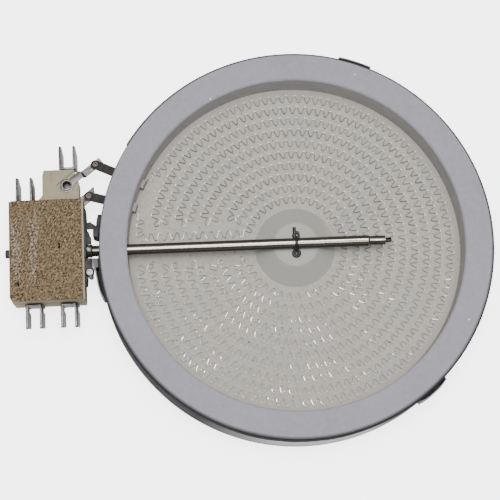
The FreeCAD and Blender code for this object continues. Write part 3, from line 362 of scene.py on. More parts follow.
def make_mottle():
    """Soft clouds of a second colour over a first one."""
    group, source, result = group_with("Mottle", (
        ("Vector", "NodeSocketVector", None),
        ("Colour", "NodeSocketColor", (0.5, 0.5, 0.5, 1)),
        ("Cloud", "NodeSocketColor", (0.4, 0.4, 0.4, 1)),
        ("Size", "NodeSocketFloat", 60.0),
        ("Strength", "NodeSocketFloat", 0.5),
    ), (("Colour", "NodeSocketColor"),))
    cloud = noise_node(group, source.outputs["Vector"], source.outputs["Size"], 5.0, 0.6)
    mask = span_node(group, cloud.outputs["Fac"], 0.35, 0.65)
    mask = math_node(group, "MULTIPLY", mask, source.outputs["Strength"])
    mixed = mix_node(group, mask, source.outputs["Colour"], source.outputs["Cloud"])
    group.links.new(mixed, result.inputs["Colour"])
    return group


def make_flecks():
    """A mask of small scattered grains: 1 on a grain, 0 between them."""
    group, source, result = group_with("Flecks", (
        ("Vector", "NodeSocketVector", None),
        ("Size", "NodeSocketFloat", 900.0),
        ("Share", "NodeSocketFloat", 0.1),
        ("Radius", "NodeSocketFloat", 0.35),
    ), (("Mask", "NodeSocketFloat"), ("Tone", "NodeSocketFloat")))
    cells = cells_node(group, source.outputs["Vector"], source.outputs["Size"])
    split = group.nodes.new("ShaderNodeSeparateColor")
    group.links.new(cells.outputs["Color"], split.inputs["Color"])
    chosen = math_node(group, "LESS_THAN", split.outputs["Red"], source.outputs["Share"])
    near = math_node(group, "LESS_THAN", cells.outputs["Distance"], source.outputs["Radius"])
    mask = math_node(group, "MULTIPLY", chosen, near)
    group.links.new(mask, result.inputs["Mask"])
    group.links.new(split.outputs["Green"], result.inputs["Tone"])
    return group


def make_grain():
    """A fine pressed grain as a height, for a Bump node."""
    group, source, result = group_with("Pressed grain", (
        ("Vector", "NodeSocketVector", None),
        ("Size", "NodeSocketFloat", 1500.0),
    ), (("Height", "NodeSocketFloat"),))
    fine = noise_node(group, source.outputs["Vector"], source.outputs["Size"], 4.0, 0.7)
    group.links.new(fine.outputs["Fac"], result.inputs["Height"])
    return group


GROUPS = {}


def shared(name):
    makers = {"Mottle": make_mottle, "Flecks": make_flecks, "Pressed grain": make_grain}
    if name not in GROUPS:
        GROUPS[name] = makers[name]()
    return GROUPS[name]


def use_group(tree, name, vector, **values):
    node = tree.nodes.new("ShaderNodeGroup")
    node.node_tree = shared(name)
    tree.links.new(vector, node.inputs["Vector"])
    for label, value in values.items():
        socket = node.inputs[label]
        if isinstance(value, (int, float)):
            socket.default_value = value
        elif isinstance(value, (tuple, list)) or hasattr(value, "foreach_get"):
            socket.default_value = (*value[:3], 1.0)
        else:
            tree.links.new(value, socket)
    return node


# Materials

def new_material(name, roughness=0.5, metallic=0.0, specular=0.5):
    """A material with a Principled shader and Object coordinates."""
    material = bpy.data.materials.new(name)
    material.use_nodes = True
    tree = material.node_tree
    tree.nodes.clear()
    output = tree.nodes.new("ShaderNodeOutputMaterial")
    shader = tree.nodes.new("ShaderNodeBsdfPrincipled")
    place = tree.nodes.new("ShaderNodeTexCoord")
    shader.inputs["Roughness"].default_value = roughness
    shader.inputs["Metallic"].default_value = metallic
    shader.inputs["Specular IOR Level"].default_value = specular
    tree.links.new(shader.outputs["BSDF"], output.inputs["Surface"])
    return material, tree, shader, place.outputs["Object"]


def add_bump(tree, shader, height, strength, distance):
    bump = tree.nodes.new("ShaderNodeBump")
    bump.inputs["Strength"].default_value = strength
    bump.inputs["Distance"].default_value = distance
    tree.links.new(height, bump.inputs["Height"])
    tree.links.new(bump.outputs["Normal"], shader.inputs["Normal"])


def scaled(colour, factor):
    return tuple(min(1.0, channel * factor) for channel in colour[:3])


def distance_node(tree, place, x=0.0, y=0.0):
    """Distance from an upright line at x and y, in metres."""
    split = tree.nodes.new("ShaderNodeSeparateXYZ")
    tree.links.new(place, split.inputs["Vector"])
    flat = tree.nodes.new("ShaderNodeCombineXYZ")
    tree.links.new(math_node(tree, "SUBTRACT", split.outputs["X"], x), flat.inputs["X"])
    tree.links.new(math_node(tree, "SUBTRACT", split.outputs["Y"], y), flat.inputs["Y"])
    length = tree.nodes.new("ShaderNodeVectorMath")
    length.operation = "LENGTH"
    tree.links.new(flat.outputs["Vector"], length.inputs[0])
    return length.outputs["Value"]


def axis_node(tree, place, axis):
    """One coordinate of the place, in metres."""
    split = tree.nodes.new("ShaderNodeSeparateXYZ")
    tree.links.new(place, split.inputs["Vector"])
    return split.outputs[axis]


def stretched(tree, place, x=1.0, y=1.0, z=1.0):
    """The place scaled on each axis, for streaks."""
    mapping = tree.nodes.new("ShaderNodeMapping")
    mapping.inputs["Scale"].default_value = (x, y, z)
    tree.links.new(place, mapping.inputs["Vector"])
    return mapping.outputs["Vector"]


def ring_fibre(settings):
    """Pressed grey board with faint clouds, a few pale flecks and a browned, streaked inner wall,
    painted lighter towards its foot as light against the shade there, and a painted shade line round its
    outer edge.
    """
    material, tree, shader, place = new_material("Ring board", roughness=0.92, specular=0.15)
    tone = tuple(settings.ring)
    mottle = use_group(tree, "Mottle", place, Colour=tone, Cloud=scaled(tone, 0.9), Size=45.0,
                       Strength=0.7)
    fine = use_group(tree, "Mottle", place, Colour=mottle.outputs["Colour"],
                     Cloud=scaled(tone, 1.16), Size=520.0, Strength=0.5)
    flecks = use_group(tree, "Flecks", place, Size=420.0, Share=0.0035, Radius=0.14)
    colour = mix_node(tree, flecks.outputs["Mask"], fine.outputs["Colour"], (0.7, 0.69, 0.69))
    reach = distance_node(tree, place)
    inside = span_node(tree, reach, 0.0706, 0.0704)
    below = span_node(tree, axis_node(tree, place, "Z"), 0.0276, 0.0274)
    wall = math_node(tree, "MULTIPLY", inside, below)
    streak = noise_node(tree, stretched(tree, place, 0.3, 0.3, 2.0), 320.0, 4.0, 0.65)
    bark = mix_node(tree, span_node(tree, streak.outputs["Fac"], 0.3, 0.7),
                    (0.26, 0.25, 0.252), (0.36, 0.35, 0.352))
    # Painted light: the inner wall is lightened towards its foot, against the shade that falls there.
    painted_foot_light = span_node(tree, axis_node(tree, place, "Z"), 0.016, 0.026, 0.55, 0.0)
    bark = mix_node(tree, painted_foot_light, bark, (0.62, 0.6, 0.6))
    colour = mix_node(tree, wall, colour, bark)
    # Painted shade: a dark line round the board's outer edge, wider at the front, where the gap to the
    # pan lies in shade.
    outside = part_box("wall_ring")[1].x
    wide = span_node(tree, axis_node(tree, place, "Y"), 0.0, -0.03,
                     outside - 0.0006, outside - 0.0012)
    rim = span_node(tree, reach, wide, outside - 0.0003, 0.0, 0.75)
    colour = mix_node(tree, rim, colour, (0.05, 0.047, 0.05))
    tree.links.new(colour, shader.inputs["Base Color"])
    grain = use_group(tree, "Pressed grain", place, Size=1400.0)
    add_bump(tree, shader, grain.outputs["Height"], 0.25, 0.0002)
    return material


def base_fibre(settings):
    """Chalky pressed base, speckled round a smoother boss whose top is painted lighter as light and
    whose flank is painted darker as shade, with a painted shade line at the foot of the ring's wall.
    """
    material, tree, shader, place = new_material("Base board", roughness=0.95, specular=0.12)
    tone = tuple(settings.base)
    warm = use_group(tree, "Mottle", place, Colour=tone, Size=48.0, Strength=0.9,
                     Cloud=(tone[0] * 1.09, tone[1] * 0.99, tone[2] * 0.97))
    mottle = use_group(tree, "Mottle", place, Colour=warm.outputs["Colour"],
                       Cloud=scaled(tone, 0.9), Size=170.0, Strength=0.5)
    fine = use_group(tree, "Mottle", place, Colour=mottle.outputs["Colour"],
                     Cloud=scaled(tone, 1.3), Size=800.0, Strength=0.65)
    dark = use_group(tree, "Flecks", place, Size=700.0, Share=0.05, Radius=0.3)
    light = use_group(tree, "Flecks", place, Size=560.0, Share=0.025, Radius=0.24)
    colour = mix_node(tree, dark.outputs["Mask"], fine.outputs["Colour"], scaled(tone, 0.62))
    colour = mix_node(tree, light.outputs["Mask"], colour, scaled(tone, 1.45))
    reach = distance_node(tree, place)
    # Painted light and shade: the boss's top is painted lighter and its flank darker.
    boss = mix_node(tree, span_node(tree, reach, 0.0080, 0.0105),
                    scaled(tone, 1.03), scaled(tone, 0.91))
    colour = mix_node(tree, span_node(tree, reach, 0.0171, 0.0169), colour, boss)
    rim = mix_node(tree, 0.5, colour, (tone[0] * 1.1, tone[1] * 1.02, tone[2]))
    colour = mix_node(tree, span_node(tree, reach, 0.0675, 0.0685), colour, rim)
    # Painted shade: a dark line on the base in the crease at the foot of the ring's wall.
    foot = mix_node(tree, 1.0, colour, (0.45, 0.44, 0.43), "MULTIPLY")
    colour = mix_node(tree, span_node(tree, reach, 0.0699, 0.0703), colour, foot)
    tree.links.new(colour, shader.inputs["Base Color"])
    grain = use_group(tree, "Pressed grain", place, Size=1000.0)
    rough = math_node(tree, "MULTIPLY", grain.outputs["Height"],
                      span_node(tree, reach, 0.0168, 0.0174, 0.1, 1.0))
    add_bump(tree, shader, rough, 0.7, 0.0005)
    return material


def metal(name, colour, roughness, streak=0.25, size=240.0, dark=0.55, metallic=1.0, specular=0.5):
    """Bare metal with faint clouds of tarnish."""
    material, tree, shader, place = new_material(name, roughness, metallic, specular)
    mottle = use_group(tree, "Mottle", place, Colour=colour, Cloud=scaled(colour, dark),
                       Size=size, Strength=streak)
    tree.links.new(mottle.outputs["Colour"], shader.inputs["Base Color"])
    cloud = noise_node(tree, place, size * 1.7, 4.0, 0.6)
    tree.links.new(span_node(tree, cloud.outputs["Fac"], 0.3, 0.7, roughness * 0.8, roughness * 1.3),
                   shader.inputs["Roughness"])
    return material


def pan_steel(settings):
    """Drawn steel, darkened near its rim partly by scorching and partly by painted shade in the gap
    under the ring, and by painted dark reflections beside the head and at the front right.
    """
    material, tree, shader, place = new_material("Pan steel", specular=0.12)
    tone = tuple(settings.steel)
    x = axis_node(tree, place, "X")
    y = axis_node(tree, place, "Y")
    turn = math_node(tree, "ARCTAN2", y, x)
    # Painted dark reflections in sectors beside the head and at the front right.
    left = span_node(tree, turn, math.radians(-98), math.radians(-122))
    rear = span_node(tree, turn, math.radians(100), math.radians(140))
    right = math_node(tree, "MULTIPLY", span_node(tree, turn, math.radians(-72), math.radians(-62)),
                      span_node(tree, turn, math.radians(-20), math.radians(-32)))
    heat_shade_and_reflection = math_node(tree, "MAXIMUM", math_node(tree, "MAXIMUM", left, rear),
                     math_node(tree, "MULTIPLY", right, 0.8))
    streaks = noise_node(tree, stretched(tree, place, 1.0, 1.0, 4.0), 220.0, 4.0, 0.65)
    patch = span_node(tree, streaks.outputs["Fac"], 0.3, 0.62, 1.0, 0.82)
    heat_shade_and_reflection = math_node(tree, "MULTIPLY", heat_shade_and_reflection, patch)
    # Near the rim the darkening is partly scorch and partly painted shade in the gap under the ring.
    fringe = noise_node(tree, stretched(tree, place, 1.0, 1.0, 0.3), 90.0, 4.0, 0.6)
    height = math_node(tree, "ADD", axis_node(tree, place, "Z"),
                       span_node(tree, fringe.outputs["Fac"], 0.3, 0.7, -0.0016, 0.0016))
    heat_shade_and_reflection = math_node(tree, "MAXIMUM", heat_shade_and_reflection, span_node(tree, height, 0.0195, 0.0225, 0.0, 0.97))
    reach = distance_node(tree, place)
    heat_shade_and_reflection = math_node(tree, "MULTIPLY", heat_shade_and_reflection, span_node(tree, reach, 0.08265, 0.083, 1.0, 0.55))
    lug = span_node(tree, reach, 0.0846, 0.085, 1.0, 0.12)
    heat_shade_and_reflection = math_node(tree, "MULTIPLY", heat_shade_and_reflection, lug)
    clouds = use_group(tree, "Mottle", place, Colour=tone, Cloud=scaled(tone, 0.5), Size=150.0,
                       Strength=0.4)
    colour = mix_node(tree, heat_shade_and_reflection, clouds.outputs["Colour"], (0.016, 0.015, 0.016))
    tree.links.new(colour, shader.inputs["Base Color"])
    tree.links.new(span_node(tree, heat_shade_and_reflection, 0.0, 1.0, 0.3, 0.85), shader.inputs["Roughness"])
    tree.links.new(span_node(tree, heat_shade_and_reflection, 0.3, 1.0, 0.85, 0.0), shader.inputs["Metallic"])
    return material


def tube_steel(settings):
    """Drawn tube, its flanks painted darker as shade so that only a narrow painted highlight stays
    bright along its top, and dull outside the ring.
    """
    material, tree, shader, place = new_material("Tube steel", roughness=0.23, metallic=1.0)
    tone = tuple(settings.tube)
    clouds = use_group(tree, "Mottle", place, Colour=tone, Cloud=scaled(tone, 0.55), Size=90.0,
                       Strength=0.35)
    # Painted shade: the flanks are darkened so that only a narrow line along the top stays bright as a
    # painted highlight.
    across = math_node(tree, "SUBTRACT", axis_node(tree, place, "Y"), 0.00042)
    off = math_node(tree, "ABSOLUTE", across, 0.0)
    flank = span_node(tree, off, 0.00015, 0.00105)
    colour = mix_node(tree, flank, clouds.outputs["Colour"], scaled(tone, 0.58))
    outside = span_node(tree, axis_node(tree, place, "X"), -0.0805, -0.0815, 0.0, 0.75)
    colour = mix_node(tree, outside, colour, (0.035, 0.036, 0.03))
    tree.links.new(colour, shader.inputs["Base Color"])
    return material


def hollow_steel(box):
    """Rivet steel, bright on its collar, with painted shade darkening it down its bore."""
    material, tree, shader, place = new_material("Hollow rivet", roughness=0.32, metallic=0.9)
    middle = (box[0] + box[1]) / 2
    reach = distance_node(tree, place, middle.x, middle.y)
    # Painted shade down the bore, also on the plug set in it.
    deep = span_node(tree, axis_node(tree, place, "Z"), box[1].z - 0.0002, box[1].z - 0.0006)
    bore = math_node(tree, "MULTIPLY", deep, span_node(tree, reach, 0.00185, 0.00175))
    clouds = use_group(tree, "Mottle", place, Colour=(0.3, 0.27, 0.24),
                       Cloud=(0.12, 0.1, 0.085), Size=700.0, Strength=0.6)
    colour = mix_node(tree, bore, clouds.outputs["Colour"], (0.045, 0.04, 0.038))
    tree.links.new(colour, shader.inputs["Base Color"])
    return material


def heat_scale():
    """Black scale outside the ring; pale, dusted metal on the ends inside it."""
    material, tree, shader, place = new_material("Heat scale", roughness=0.8, specular=0.15)
    tint = use_group(tree, "Mottle", place, Colour=(0.018, 0.016, 0.017),
                     Cloud=(0.04, 0.036, 0.036), Size=420.0, Strength=0.7)
    reach = distance_node(tree, place)
    colour = mix_node(tree, span_node(tree, reach, 0.0712, 0.0706), tint.outputs["Colour"],
                      (0.25, 0.235, 0.222))
    tree.links.new(colour, shader.inputs["Base Color"])
    return material


def ribbon_alloy(route):
    """Oxidised strip with a painted dark line, deepest towards the rear and on every other turn, a
    painted highlight on its outer bends and painted glints in front of the tube.
    """
    material, tree, shader, place = new_material("Ribbon alloy", roughness=0.42, metallic=0.35)
    reach = distance_node(tree, place)
    y = axis_node(tree, place, "Y")
    first = route.outer - route.pitch * route.turns
    turn = math_node(tree, "SUBTRACT", reach, first + route.pitch / 2)
    turn = math_node(tree, "DIVIDE", turn, route.pitch)
    across = math_node(tree, "FRACT", turn, 0.0)
    pair = math_node(tree, "FRACT", math_node(tree, "MULTIPLY", turn, 0.5), 0.0)
    strong = math_node(tree, "LESS_THAN", pair, 0.5)
    # Painted shade: the strip's dark line, deepest towards the rear and on every other turn.
    rear = span_node(tree, y, -0.02, 0.005)
    depth = math_node(tree, "ADD", span_node(tree, rear, 0.0, 1.0, 0.34, 0.62),
                      math_node(tree, "MULTIPLY", math_node(tree, "MULTIPLY", strong, rear), 0.38))
    cloud = noise_node(tree, place, 130.0, 3.0, 0.6)
    depth = math_node(tree, "MULTIPLY", depth,
                      span_node(tree, cloud.outputs["Fac"], 0.35, 0.65, 0.65, 1.0))
    colour = mix_node(tree, depth, (0.23, 0.222, 0.2), (0.05, 0.047, 0.042))
    # Painted highlight on the outer bends.
    crest_highlight = math_node(tree, "MULTIPLY", span_node(tree, across, 0.7, 0.78),
                      span_node(tree, rear, 0.0, 1.0, 0.35, 0.9))
    colour = mix_node(tree, crest_highlight, colour, (0.72, 0.71, 0.67))
    # Painted glints on one flank of each wave, in patches in front of the tube.
    phase = tree.nodes.new("ShaderNodeAttribute")
    phase.attribute_name = PHASE
    flank = math_node(tree, "MULTIPLY", span_node(tree, phase.outputs["Fac"], 0.38, 0.42),
                      span_node(tree, phase.outputs["Fac"], 0.62, 0.58))
    area = noise_node(tree, place, 70.0, 3.0, 0.6)
    patch = span_node(tree, area.outputs["Fac"], 0.545, 0.56)
    front = math_node(tree, "MULTIPLY", span_node(tree, y, 0.01, -0.02), patch)
    glint = math_node(tree, "MULTIPLY", flank, front)
    colour = mix_node(tree, glint, colour, (1.0, 0.99, 0.96))
    colour = mix_node(tree, span_node(tree, reach, 0.0682, 0.0688), colour, (0.04, 0.035, 0.03))
    tree.links.new(colour, shader.inputs["Base Color"])
    tree.links.new(span_node(tree, glint, 0.0, 1.0, 0.45, 0.3), shader.inputs["Roughness"])
    return material


def mica_plate(settings, box):
    """Bonded mica grains, brown and tan, with bright flakes in two bands at the outer side."""
    material, tree, shader, place = new_material("Mica plate", roughness=0.75, specular=0.15)
    tone = tuple(settings.mica)
    turned = tree.nodes.new("ShaderNodeMapping")
    turned.inputs["Rotation"].default_value = (0, 0, math.radians(-48))
    tree.links.new(place, turned.inputs["Vector"])
    grain = noise_node(tree, stretched(tree, turned.outputs["Vector"], 0.62, 1.1), 1650.0, 3.0, 0.7)
    colour = mix_node(tree, span_node(tree, grain.outputs["Fac"], 0.41, 0.61),
                      scaled(tone, 0.1), scaled(tone, 2.35))
    cells = cells_node(tree, place, 1900.0)
    split = tree.nodes.new("ShaderNodeSeparateColor")
    tree.links.new(cells.outputs["Color"], split.inputs["Color"])
    rust = mix_node(tree, span_node(tree, split.outputs["Green"], 0.6, 1.0, 0.0, 0.5), colour,
                    (tone[0] * 1.4, tone[1] * 1.0, tone[2] * 0.9))
    clouds = use_group(tree, "Mottle", place, Colour=rust, Size=170.0, Strength=0.4,
                       Cloud=(tone[0] * 0.95, tone[1] * 1.1, tone[2] * 1.05))
    x = axis_node(tree, place, "X")
    y = axis_node(tree, place, "Y")
    wave = noise_node(tree, place, 120.0, 2.0, 0.5)
    drift = math_node(tree, "ADD", x, span_node(tree, wave.outputs["Fac"], 0.2, 0.8, -0.002, 0.002))
    outer = math_node(tree, "MULTIPLY", span_node(tree, drift, -0.1186, -0.1176),
                      span_node(tree, drift, -0.1140, -0.1152))
    inner = math_node(tree, "MULTIPLY", span_node(tree, drift, -0.1112, -0.1102),
                      span_node(tree, drift, -0.1066, -0.1078))
    middle = math_node(tree, "MULTIPLY", span_node(tree, y, -0.014, -0.008),
                       span_node(tree, y, 0.016, 0.01))
    bands = math_node(tree, "MULTIPLY", math_node(tree, "MAXIMUM", outer, inner), middle)
    bright = span_node(tree, grain.outputs["Fac"], 0.49, 0.63, 0.0, 0.75)
    shine = math_node(tree, "MULTIPLY", bright, bands)
    colour = mix_node(tree, shine, clouds.outputs["Colour"], (0.42, 0.385, 0.335))
    # The plate is darker along its left and back edges, over a width that varies.
    rough = noise_node(tree, place, 500.0, 3.0, 0.6)
    edge_width = span_node(tree, rough.outputs["Fac"], 0.3, 0.7, 0.0001, 0.0009)
    low, high = box
    left = span_node(tree, math_node(tree, "SUBTRACT", x, low.x), 0.0, edge_width, 1.0, 0.0)
    back = span_node(tree, math_node(tree, "SUBTRACT", high.y, y), 0.0, edge_width, 1.0, 0.0)
    edge = math_node(tree, "MULTIPLY", math_node(tree, "MAXIMUM", left, back), 0.7)
    colour = mix_node(tree, edge, colour, scaled(tone, 0.3))
    tree.links.new(colour, shader.inputs["Base Color"])
    add_bump(tree, shader, grain.outputs["Fac"], 1.0, 0.0011)
    return material


def steatite(settings):
    """Pressed unglazed ceramic, cream with faint stains."""
    material, tree, shader, place = new_material("Steatite", roughness=0.7, specular=0.3)
    tone = tuple(settings.ceramic)
    mottle = use_group(tree, "Mottle", place, Colour=tone, Cloud=scaled(tone, 0.8), Size=160.0,
                       Strength=0.5)
    flecks = use_group(tree, "Flecks", place, Size=700.0, Share=0.02, Radius=0.2)
    colour = mix_node(tree, flecks.outputs["Mask"], mottle.outputs["Colour"], scaled(tone, 0.5))
    tree.links.new(colour, shader.inputs["Base Color"])
    grain = use_group(tree, "Pressed grain", place, Size=1800.0)
    add_bump(tree, shader, grain.outputs["Height"], 0.2, 0.0002)
    return material


# The ribbon's route

def arc_run(centre, radius, start, stop):
    """A stretch of route on a circle."""
    length = radius * abs(stop - start)
    side = 1 if stop < start else -1

    def at(distance):
        angle = start + (stop - start) * distance / length
        outward = Vector((math.cos(angle), math.sin(angle)))
        return Vector(centre) + outward * radius, outward * side
    return length, at


def line_run(start, stop):
    """A straight stretch of route."""
    start, stop = Vector(start), Vector(stop)
    along = (stop - start).normalized()

    def at(distance):
        return start + along * distance, Vector((-along.y, along.x))
    return (stop - start).length, at


def polar(radius, angle):
    return Vector((radius * math.cos(angle), radius * math.sin(angle)))


def weld_ends(settings, angle, way):
    """The two ends of the ribbon's flat tail on a terminal strip, the far one first."""
    middle = polar(settings.weld - settings.sheet * 0.7, angle)
    side = Vector((-math.sin(angle), math.cos(angle))) * (settings.weld_width / 2 - 0.2 * MM) * way
    return middle - side, middle + side


def ribbon_route(settings):
    """Out from one terminal, round all turns with hairpins, and back beside the tube to the other."""
    radii = [settings.outer - settings.pitch * number for number in range(settings.turns)]
    angle = settings.start
    runs = [line_run(weld_ends(settings, STRIP_ANGLES[0], -1)[1], polar(radii[0], angle))]
    way = -1
    for radius in radii[:-1]:
        middle = radius - settings.pitch / 2
        if way < 0:
            stop = -math.pi + math.asin(settings.front / middle)
        else:
            stop = math.pi - math.asin(settings.back / middle)
        runs.append(arc_run((0, 0), radius, angle, stop))
        runs.append(arc_run(polar(middle, stop), settings.pitch / 2, stop, stop + way * math.pi))
        angle = stop
        way = -way
    last = radii[-1]
    rise = settings.home + settings.bend
    leave = math.pi - math.asin(rise / (last + settings.bend))
    runs.append(arc_run((0, 0), last, angle, leave))
    hub = polar(last + settings.bend, leave)
    runs.append(arc_run(hub, settings.bend, leave - math.pi, -math.pi / 2))
    turn = math.pi - math.asin(rise / (settings.climb - settings.bend))
    second_hub = polar(settings.climb - settings.bend, turn)
    runs.append(line_run((hub.x, settings.home), (second_hub.x, settings.home)))
    runs.append(arc_run(second_hub, settings.bend, 1.5 * math.pi, turn))
    near = STRIP_ANGLES[1] + math.radians(3.5)
    runs.append(arc_run((0, 0), settings.climb, turn, near))
    runs.append(line_run(polar(settings.climb, near), weld_ends(settings, STRIP_ANGLES[1], 1)[1]))
    return runs


def ribbon_points(settings, steps):
    """Points along the waved strip, so many to a wave."""
    runs = ribbon_route(settings)
    total = sum(length for length, at in runs)
    waves = round(total / settings.wave)
    count = waves * steps
    points = [weld_ends(settings, STRIP_ANGLES[0], -1)[0]]
    passed = 0.0
    for number in range(count + 1):
        distance = total * number / count
        while len(runs) > 1 and distance > passed + runs[0][0]:
            passed += runs.pop(0)[0]
        length, at = runs[0]
        spot, normal = at(min(distance - passed, length))
        phase = 2 * math.pi * number / steps
        swing = settings.swing * (1.08 * math.sin(phase) + 0.08 * math.sin(3 * phase))
        ends = min(1.0, number / steps, (count - number) / steps)
        points.append(spot + normal * swing * ends)
    points.append(weld_ends(settings, STRIP_ANGLES[1], 1)[0])
    return points


def mark_phase(ribbon, points, steps):
    """Writes on each vertex how far along its wave it lies, from 0 to 1."""
    tree = KDTree(len(points))
    for number, spot in enumerate(points):
        tree.insert((spot.x, spot.y, 0.0), number)
    tree.balance()
    phase = ribbon.data.attributes.new(PHASE, "FLOAT", "POINT")
    for vertex, mark in zip(ribbon.data.vertices, phase.data):
        nearest = tree.find((vertex.co.x, vertex.co.y, 0.0))[1]
        mark.value = nearest % steps / steps


# Operators, one for each piece or group of like pieces

class ELEMENT_OT_insulation(bpy.types.Operator):
    """Finish the pressed base and the ring"""
    bl_idname = "element.insulation"
    bl_label = "Insulation"

    def execute(self, context):
        finish = context.scene.element_finish
        paint(from_solid("wall_ring", "ring_board", edge=0.35 * MM, angle=40), ring_fibre(finish))
        paint(from_solid("base_insulation", "base_board", edge=0.0, angle=12), base_fibre(finish))
        return {"FINISHED"}


class ELEMENT_OT_ribbon(bpy.types.Operator):
    """Add the waved heating ribbon on its route"""
    bl_idname = "element.ribbon"
    bl_label = "Heating ribbon"

    def execute(self, context):
        settings = context.scene.element_ribbon
        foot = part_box("heating_ribbon")[0].z
        line = bpy.data.curves.new("ribbon_line", "CURVE")
        line.dimensions = "2D"
        line.fill_mode = "NONE"
        line.extrude = settings.height / 2
        points = ribbon_points(settings, STEPS)
        spline = line.splines.new("POLY")
        spline.points.add(len(points) - 1)
        for point, spot in zip(spline.points, points):
            point.co = (spot.x, spot.y, 0, 1)
        ribbon = bpy.data.objects.new("waved_ribbon", line)
        bpy.context.scene.collection.objects.link(ribbon)
        ribbon.location.z = foot + settings.height / 2 - settings.sunk
        select_only(ribbon)
        bpy.ops.object.convert(target="MESH")
        ribbon = context.object
        wall = ribbon.modifiers.new("Strip", "SOLIDIFY")
        wall.thickness = settings.sheet
        wall.offset = 0
        bpy.ops.object.modifier_apply(modifier=wall.name)
        place_into_mesh(ribbon)
        mark_phase(ribbon, points[1:-1], STEPS)
        smooth(ribbon, 50)
        finish_piece(ribbon, "ribbon_alloy", "heating_ribbon")
        paint(ribbon, ribbon_alloy(settings))
        return {"FINISHED"}


class ELEMENT_OT_pan(bpy.types.Operator):
    """Finish the pressed pan with its straps and lug"""
    bl_idname = "element.pan"
    bl_label = "Pan"

    def execute(self, context):
        finish = context.scene.element_finish
        pan = from_solid("dish", "pressed_pan", edge=0.12 * MM)
        # The shelves in the straps' gaps stand for the shade there and are painted near black.
        web_shade_steel = metal("Strap web shade", (0.05, 0.047, 0.05), 0.7, 0.8, 500.0, 0.3, 0.0, 0.2)
        for number, (degrees, depth) in enumerate(STRAPS):
            turn = math.radians(degrees)
            carries_lug = number == 2
            bow_strap(pan, turn, 82.4 * MM, depth, carries_lug)
            middle = (SHELF_REACH * math.cos(turn), SHELF_REACH * math.sin(turn), SHELF_HEIGHT)
            bpy.ops.mesh.primitive_cube_add(size=1, location=middle, rotation=(0, 0, turn),
                                            scale=SHELF)
            web = bpy.context.object
            web.name = f"strap_shade_web_{number}"
            place_into_mesh(web)
            bow_strap(web, turn, 81.0 * MM, depth, carries_lug)
            edit_all(web)
            bpy.ops.mesh.bevel(offset=0.06 * MM, segments=2)
            bpy.ops.object.mode_set(mode="OBJECT")
            smooth(web)
            finish_piece(web, "dish_steel")
            paint(web, web_shade_steel)
        smooth(pan)
        paint(pan, pan_steel(finish))
        return {"FINISHED"}


class ELEMENT_OT_sensor(bpy.types.Operator):
    """Finish the sensor tube, its rod, collar and wire clip"""
    bl_idname = "element.sensor"
    bl_label = "Sensor tube"

    def execute(self, context):
        finish = context.scene.element_finish
        tube = from_solid("sensor_tube", "drawn_tube")
        axis = (0, 0, sum(corner.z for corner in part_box("sensor_tube")) / 2)
        scale_part(tube, lambda spot: True, (1, 1.08, 1.08), axis)
        scale_part(tube, lambda spot: spot.x > 30.6 * MM, (1, 1.14, 1.14), axis)
        paint(tube, tube_steel(finish))
        paint(from_solid("expansion_rod", "drawn_rod"),
              metal("Rod steel", (0.035, 0.033, 0.031), 0.4, 0.6, 900.0, 0.4))
        paint(from_solid("tube_collar", "turned_collar"),
              metal("Collar steel", (0.1, 0.098, 0.086), 0.33, 0.6, 500.0, 0.4))
        clip = from_solid("tube_clip", "wire_clip")
        scale_part(clip, lambda spot: spot.y > 2.0 * MM and spot.x > 0.3 * MM,
                   (0.62, 1, 1), (0.3 * MM, 0, 0))
        scale_part(clip, lambda spot: (spot.y > 5.2 * MM
                                       or (spot.x < -0.3 * MM and spot.y > 2.8 * MM)),
                   (1.3, 1, 1), (-0.4 * MM, 0, 0))
        thicken(clip, 0.22 * MM)
        add_coil(clip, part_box("tube_clip")[0].y + 1.7 * MM)
        paint(clip, metal("Clip wire", (0.012, 0.012, 0.0115), 0.3, 0.4, 700.0, 2.0, 0.35, 0.3))
        return {"FINISHED"}


class ELEMENT_OT_head(bpy.types.Operator):
    """Finish the switch head: housing, cover plate and screws"""
    bl_idname = "element.head"
    bl_label = "Switch head"

    def execute(self, context):
        finish = context.scene.element_finish
        paint(from_solid("limiter_housing", "steatite_housing", edge=0.25 * MM), steatite(finish))
        plate = from_solid("cover_plate", "mica_cover", edge=0.1 * MM)
        low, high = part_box("cover_plate")
        scale_part(plate, lambda spot: spot.x > high.x - 0.5 * MM,
                   (1 - 0.8 * MM / (high.x - low.x), 1, 1), (low.x, 0, 0))
        paint(plate, mica_plate(finish, (low, high)))
        screw = metal("Screw steel", (0.24, 0.225, 0.232), 0.35, 0.9, 1100.0, 0.25)
        paint(from_solid("adjusting_screw", "stop_screw"),
              metal("Stop screw", (0.014, 0.012, 0.011), 0.5, 0.7, 900.0, 3.0, 0.3))
        paint(from_solid("fixing_screw", "lug_screw"), screw)
        paint(from_solid("mounting_bracket", "sheet_bracket", edge=0.08 * MM),
              metal("Bracket steel", (0.022, 0.02, 0.022), 0.6, 0.7, 300.0, 2.2, 0.1, 0.2))
        return {"FINISHED"}


